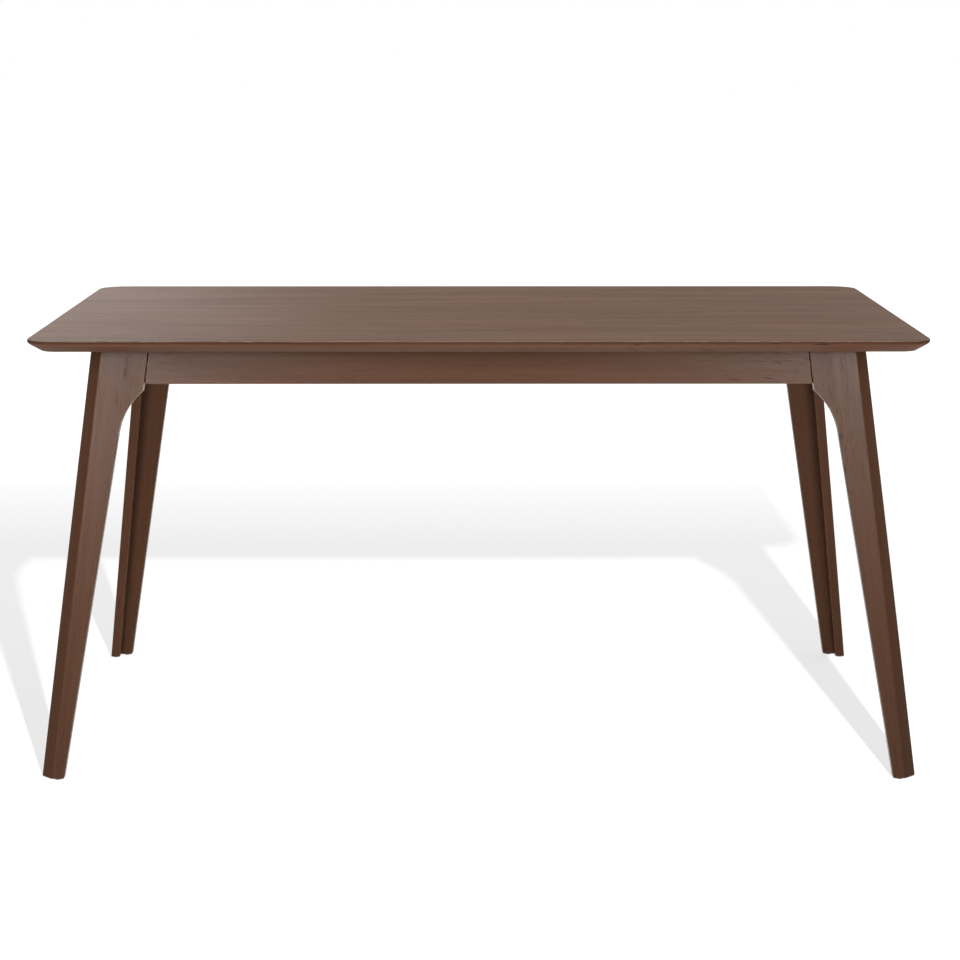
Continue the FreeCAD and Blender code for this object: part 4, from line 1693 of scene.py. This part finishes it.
@dataclass(frozen=True)
class Nut:
    """Hexagon nut with its corners turned off at both ends."""

    half_width: float = 0.0065
    bore_radius: float = 0.0042
    bore_chamfer: float = 0.0004
    face_share: float = 0.95
    turned_share: float = 0.97
    turned_slope: float = math.tan(math.radians(30))
    half_side: float = math.pi / 6
    segments: int = 48

    def hexagon(self, height: float, inward: int) -> list[Place]:
        """Points round the hexagon at the edge of a turned end.

        Args:
            height: height of that end.
            inward: 1 where the nut lies above the end, -1 where it lies below.

        Returns:
            The points.
        """
        points = []
        for index in range(self.segments):
            angle = FULL_TURN * index / self.segments
            from_flat = (angle + self.half_side) % (2 * self.half_side) - self.half_side
            across = self.half_width / math.cos(from_flat)
            fall = (across - self.half_width * self.turned_share) * self.turned_slope
            points.append((across * math.cos(angle), across * math.sin(angle), height + inward * fall))
        return points

    def model(self, length: float) -> Piece:
        """Makes one nut.

        Args:
            length: its height.

        Returns:
            The model, with one end at the origin.
        """
        face = self.half_width * self.face_share
        mouth = self.bore_radius + self.bore_chamfer
        lower = [circle(mouth, 0.0, self.segments), circle(face, 0.0, self.segments), self.hexagon(0.0, 1)]
        upper = [self.hexagon(length, -1), circle(face, length, self.segments)]
        upper += [circle(mouth, length, self.segments)]
        bore = [length - self.bore_chamfer, self.bore_chamfer]
        return bored("nut_model", lower + upper + [circle(self.bore_radius, z, self.segments) for z in bore])


@dataclass(frozen=True)
class Washer:
    """Stamped washer with rounded rims."""

    radius: float = 0.009
    bore_radius: float = 0.0042
    rim_share: float = 0.3
    corner_share: float = 0.3
    segments: int = 40

    def model(self, length: float) -> Piece:
        """Makes one washer.

        Args:
            length: its thickness.

        Returns:
            The model, with one face at the origin.
        """
        rim = length * self.rim_share
        corner = rim * self.corner_share
        outer = self.radius
        section = [
            (self.bore_radius, 0.0), (outer - rim, 0.0), (outer - corner, corner), (outer, rim),
            (outer, length - rim), (outer - corner, length - corner), (outer - rim, length),
            (self.bore_radius + rim / 2, length), (self.bore_radius, length - rim / 2)]
        return bored("washer_model", [circle(radius, z, self.segments) for radius, z in section])


@dataclass(frozen=True)
class Dowel:
    """Fluted dowel with chamfered ends."""

    radius: float = 0.004
    end_radius: float = 0.00288
    chamfer: float = 0.0012
    flutes: int = 16
    flute_depth: float = 0.00024
    flute_points: int = 4

    def model(self, length: float) -> Piece:
        """Makes one dowel.

        Args:
            length: its length.

        Returns:
            The model, with one end at the origin.
        """
        flute = (self.radius, self.flute_depth, 1.0)
        rings = [
            plain(0.0, self.end_radius), (self.chamfer, *flute), (length - self.chamfer, *flute),
            plain(length, self.end_radius)]
        return turned("dowel_model", rings, self.flutes * self.flute_points, self.flutes)


@dataclass(frozen=True)
class Glide:
    """Nail-on glide: a low pad with a rounded rim, and its nail. The rim has heights and insets."""

    radius: float = 0.0065
    height: float = 0.0015
    rim: tuple[Flat, ...] = ((0.0, 0.0005), (0.0001, 0.0002), (0.0003, 0.00006), (0.0005, 0.0))
    upper_edge: float = 0.0002
    collar_radius: float = 0.0016
    collar_height: float = 0.0005
    nail_radius: float = 0.001
    point_length: float = 0.002
    point_radius: float = 0.0001
    segments: int = 32

    def model(self, length: float) -> Piece:
        """Makes one glide.

        Args:
            length: height of the pad with its nail.

        Returns:
            The model, with the middle of its sliding face at the origin.
        """
        top = self.height
        rings = [plain(height, self.radius - inset) for height, inset in self.rim]
        rings += [
            plain(top - self.upper_edge, self.radius), plain(top, self.radius - self.upper_edge),
            plain(top, self.collar_radius), plain(top + self.collar_height, self.nail_radius),
            plain(length - self.point_length, self.nail_radius), plain(length, self.point_radius)]
        return turned("glide_model", rings, self.segments)


@dataclass
class Fasteners:
    """Screws, hanger bolts, nuts, washers, dowels and glides, set in their packed places."""

    seed: int = 5

    def build(self, bench: Workbench) -> None:
        """Sets every kind of fastener in the places of its packed group.

        Args:
            bench: the workbench.
        """
        tree = fastener_tree()
        kinds: list[tuple[str, Callable[[float], Piece], str, float]] = [
            ("leg_hanger_bolts", HangerBolt().model, ZINC_STEEL.name, FULL_TURN),
            ("leg_bolt_washers", Washer().model, ZINC_STEEL.name, FULL_TURN),
            ("leg_bolt_nuts", Nut().model, ZINC_STEEL.name, 0.0),
            ("corner_brace_screws", Screw().model, SCREW_STEEL.name, FULL_TURN),
            ("top_fixing_screws", Screw().model, SCREW_STEEL.name, FULL_TURN),
            ("batten_screws", Screw().model, SCREW_STEEL.name, FULL_TURN),
            ("cross_rail_screws", Screw().model, SCREW_STEEL.name, FULL_TURN),
            ("cross_rail_dowels", Dowel().model, DOWEL_WOOD.name, FULL_TURN),
            ("rail_end_dowels", Dowel().model, DOWEL_WOOD.name, FULL_TURN),
            ("foot_glides", Glide().model, GLIDE_PLASTIC.name, FULL_TURN)]
        for order, (node, make, slot, twist) in enumerate(kinds):
            solids = bench.solids(node)
            model = make(solids[0].length)
            name = node + "_finished"
            spots = bpy.data.meshes.new(name)
            spots.from_pydata([solid.start[:] for solid in solids], [], [])
            facing = spots.attributes.new(FACING, "FLOAT_VECTOR", "POINT")
            facing.data.foreach_set("vector", [value for solid in solids for value in solid.direction])
            values = {
                "Fastener": model, "Twist": twist, "Seed": self.seed + order,
                "Material": bench.finishes[slot]}
            piece = grown(name, tree, values, spots)
            bpy.data.objects.remove(model)
            smooth_curves(piece)
            bench.hand_over(piece, slot, node)


class Lit(Enum):
    """What a lamp shines on, with the state that says so for the floor."""

    FLOOR_ALONE = "INCLUDE"
    ALL_BUT_FLOOR = "EXCLUDE"

    def collection(self, floor: Piece) -> bpy.types.Collection:
        """Makes the collection that a lamp reads this from.

        Args:
            floor: the floor.

        Returns:
            The collection.
        """
        collection = bpy.data.collections.new(self.name.lower())
        collection.objects.link(floor)
        collection.collection_objects[0].light_linking.link_state = self.value
        return collection


@dataclass(frozen=True)
class Softbox:
    """A soft lamp that looks at a point. Its glow is the radiance of its face."""

    name: str
    place: Place
    target: Place
    width: float
    height: float
    glow: float
    spread: float = math.pi

    def build(self, lights: bpy.types.Collection) -> None:
        """Hangs the lamp.

        Args:
            lights: what the lamp shines on.
        """
        lamp = bpy.data.lights.new(self.name, "AREA")
        lamp.shape = "RECTANGLE"
        lamp.size = self.width
        lamp.size_y = self.height
        half = self.spread / 2
        narrowing = 1 - half / math.tan(half)
        lamp.energy = self.glow * math.pi * self.width * self.height * narrowing
        lamp.spread = self.spread
        holder = linked(self.name, lamp)
        holder.location = self.place
        aim = Vector(self.target) - Vector(self.place)
        holder.rotation_euler = aim.to_track_quat("-Z", "Y").to_euler()
        holder.visible_camera = False
        holder.light_linking.receiver_collection = lights


WIDE_BEAM = math.radians(46)
NARROW_BEAM = math.radians(36)
SHADOW_LAMP = Softbox(
    "shadow_lamp", place=(0.64, -4.29, 2.2), target=(0.0, 0.6, 0.0), width=0.07, height=0.07, glow=19000.0)
SOFTBOXES = (
    Softbox(
        "left_softbox", place=(-1.75, -5.2, 1.55), target=(-0.6, 0.0, 0.85), width=1.4, height=1.1, glow=22.8,
        spread=NARROW_BEAM),
    Softbox(
        "right_softbox", place=(1.75, -5.2, 1.55), target=(0.6, 0.0, 1.3), width=1.4, height=1.1, glow=26.5,
        spread=NARROW_BEAM),
    Softbox(
        "front_softbox", place=(-0.3, -5.2, 3.1), target=(-0.7, 0.0, 0.7), width=3.0, height=1.4, glow=9.2,
        spread=WIDE_BEAM),
    Softbox(
        "back_left_softbox", place=(-1.95, 4.6, 1.8), target=(-0.5, 0.0, 0.75), width=2.0, height=1.6,
        glow=4.2),
    Softbox(
        "back_right_softbox", place=(2.6, 4.6, 1.7), target=(0.5, 0.0, 0.75), width=1.6, height=1.6,
        glow=2.1),
    Softbox("top_softbox", place=(0.0, 0.6, 4.2), target=(0.0, 0.0, 0.75), width=3.0, height=2.0, glow=1.6),
)


@dataclass
class Studio:
    """Pale floor, white surround, soft lamps and the camera."""

    floor_half: float = 40.0
    floor_colour: float = 0.44
    floor_glow: float = 0.675
    floor_shade: float = 0.60
    fade: Flat = (1.5, 3.6)
    whitening: Flat = (2.8, 6.0)
    surround: float = 0.30
    lens: float = 92.6
    sensor: float = 36.0
    camera_place: Place = (-0.0098, -4.4812, 1.2521)
    camera_pitch: float = math.radians(10.282)
    camera_yaw: float = math.radians(0.165)

    @staticmethod
    def seen_directly(sheet: Sheet) -> Socket:
        """Share that is 1 for what the camera sees, straight or in a reflection or through glass.

        Args:
            sheet: the material's sheet.

        Returns:
            The share's socket.
        """
        path = sheet.add("ShaderNodeLightPath").outputs
        seen = sheet.math("MAXIMUM", path["Is Camera Ray"], path["Is Glossy Ray"])
        return sheet.math("MAXIMUM", seen, path["Is Transmission Ray"])

    def build_surround(self) -> None:
        """Makes the white surround, which lights the table softly."""
        world = bpy.data.worlds.new("white_surround")
        bpy.context.scene.world = world
        sheet = empty_sheet(world)
        soft = sheet.first("ShaderNodeBackground", {"Color": WHITE, "Strength": self.surround})
        white = sheet.first("ShaderNodeBackground", {"Color": WHITE, "Strength": 1.0})
        mixed = sheet.first("ShaderNodeMixShader", {0: self.seen_directly(sheet), 1: soft, 2: white})
        sheet.add("ShaderNodeOutputWorld", {"Surface": mixed})

    def floor_material(self) -> Material:
        """Pale floor that is white to the camera, keeps soft shadows and can be looked through from below.

        Returns:
            The material.
        """
        material = bpy.data.materials.new("pale_floor")
        sheet = empty_sheet(material)
        pale = sheet.first("ShaderNodeBsdfDiffuse", {"Color": (*(self.floor_colour,) * 3, 1.0)})
        shade = sheet.first("ShaderNodeBsdfDiffuse", {"Color": (*(self.floor_shade,) * 3, 1.0)})
        place = sheet.object_place()
        away = sheet.add("ShaderNodeVectorMath", {0: place}, operation="LENGTH").outputs["Value"]
        behind = sheet.add("ShaderNodeSeparateXYZ", {0: place}).outputs["Y"]
        around = sheet.rise(away, self.whitening, self.floor_glow)
        faded = sheet.rise(behind, self.fade, self.floor_glow)
        strength = sheet.math("MAXIMUM", around, faded)
        glow = sheet.first("ShaderNodeEmission", {"Color": WHITE, "Strength": strength})
        shown = sheet.first("ShaderNodeAddShader", {0: shade, 1: glow})
        upper = sheet.first("ShaderNodeMixShader", {0: self.seen_directly(sheet), 1: pale, 2: shown})
        below = sheet.add("ShaderNodeNewGeometry").outputs["Backfacing"]
        clear = sheet.first("ShaderNodeBsdfTransparent")
        whole = sheet.first("ShaderNodeMixShader", {0: below, 1: upper, 2: clear})
        sheet.add("ShaderNodeOutputMaterial", {"Surface": whole})
        return material

    def build_floor(self) -> Piece:
        """Lays the floor.

        Returns:
            The floor.
        """
        half = self.floor_half
        corners = [(-half, -half, 0), (half, -half, 0), (half, half, 0), (-half, half, 0)]
        mesh = bpy.data.meshes.new("studio_floor")
        mesh.from_pydata(corners, [], [(0, 1, 2, 3)])
        mesh.materials.append(self.floor_material())
        floor = linked("studio_floor", mesh)
        return floor

    def build_lamps(self, floor: Piece) -> None:
        """Hangs the lamp that draws the floor's shadow, and the softboxes that light the table.

        Args:
            floor: the floor.
        """
        SHADOW_LAMP.build(Lit.FLOOR_ALONE.collection(floor))
        table = Lit.ALL_BUT_FLOOR.collection(floor)
        for softbox in SOFTBOXES:
            softbox.build(table)

    def build_camera(self) -> None:
        """Sets the camera where the photograph was taken from."""
        data = bpy.data.cameras.new("camera")
        data.lens = self.lens
        data.sensor_width = self.sensor
        camera = linked("camera", data)
        camera.location = self.camera_place
        camera.rotation_euler = (QUARTER_TURN - self.camera_pitch, 0.0, -self.camera_yaw)
        bpy.context.scene.camera = camera

    def build(self) -> None:
        """Builds the studio."""
        self.build_surround()
        self.build_lamps(self.build_floor())
        self.build_camera()
        bpy.context.scene.view_settings.view_transform = "Standard"
        log.info("studio: floor, surround, lamps and camera")


def main() -> None:
    """Builds the table's sub-assemblies in order, then the studio."""
    logging.basicConfig(level=logging.INFO, format="%(name)s: %(message)s")
    bench = Workbench(frame["nodes"], Finishes())
    Fasteners().build(bench)
    Tabletop().build(bench)
    Legs().build(bench)
    Rails().build(bench)
    UnderFrame().build(bench)
    Studio().build()


if __name__ == "__main__":
    main()
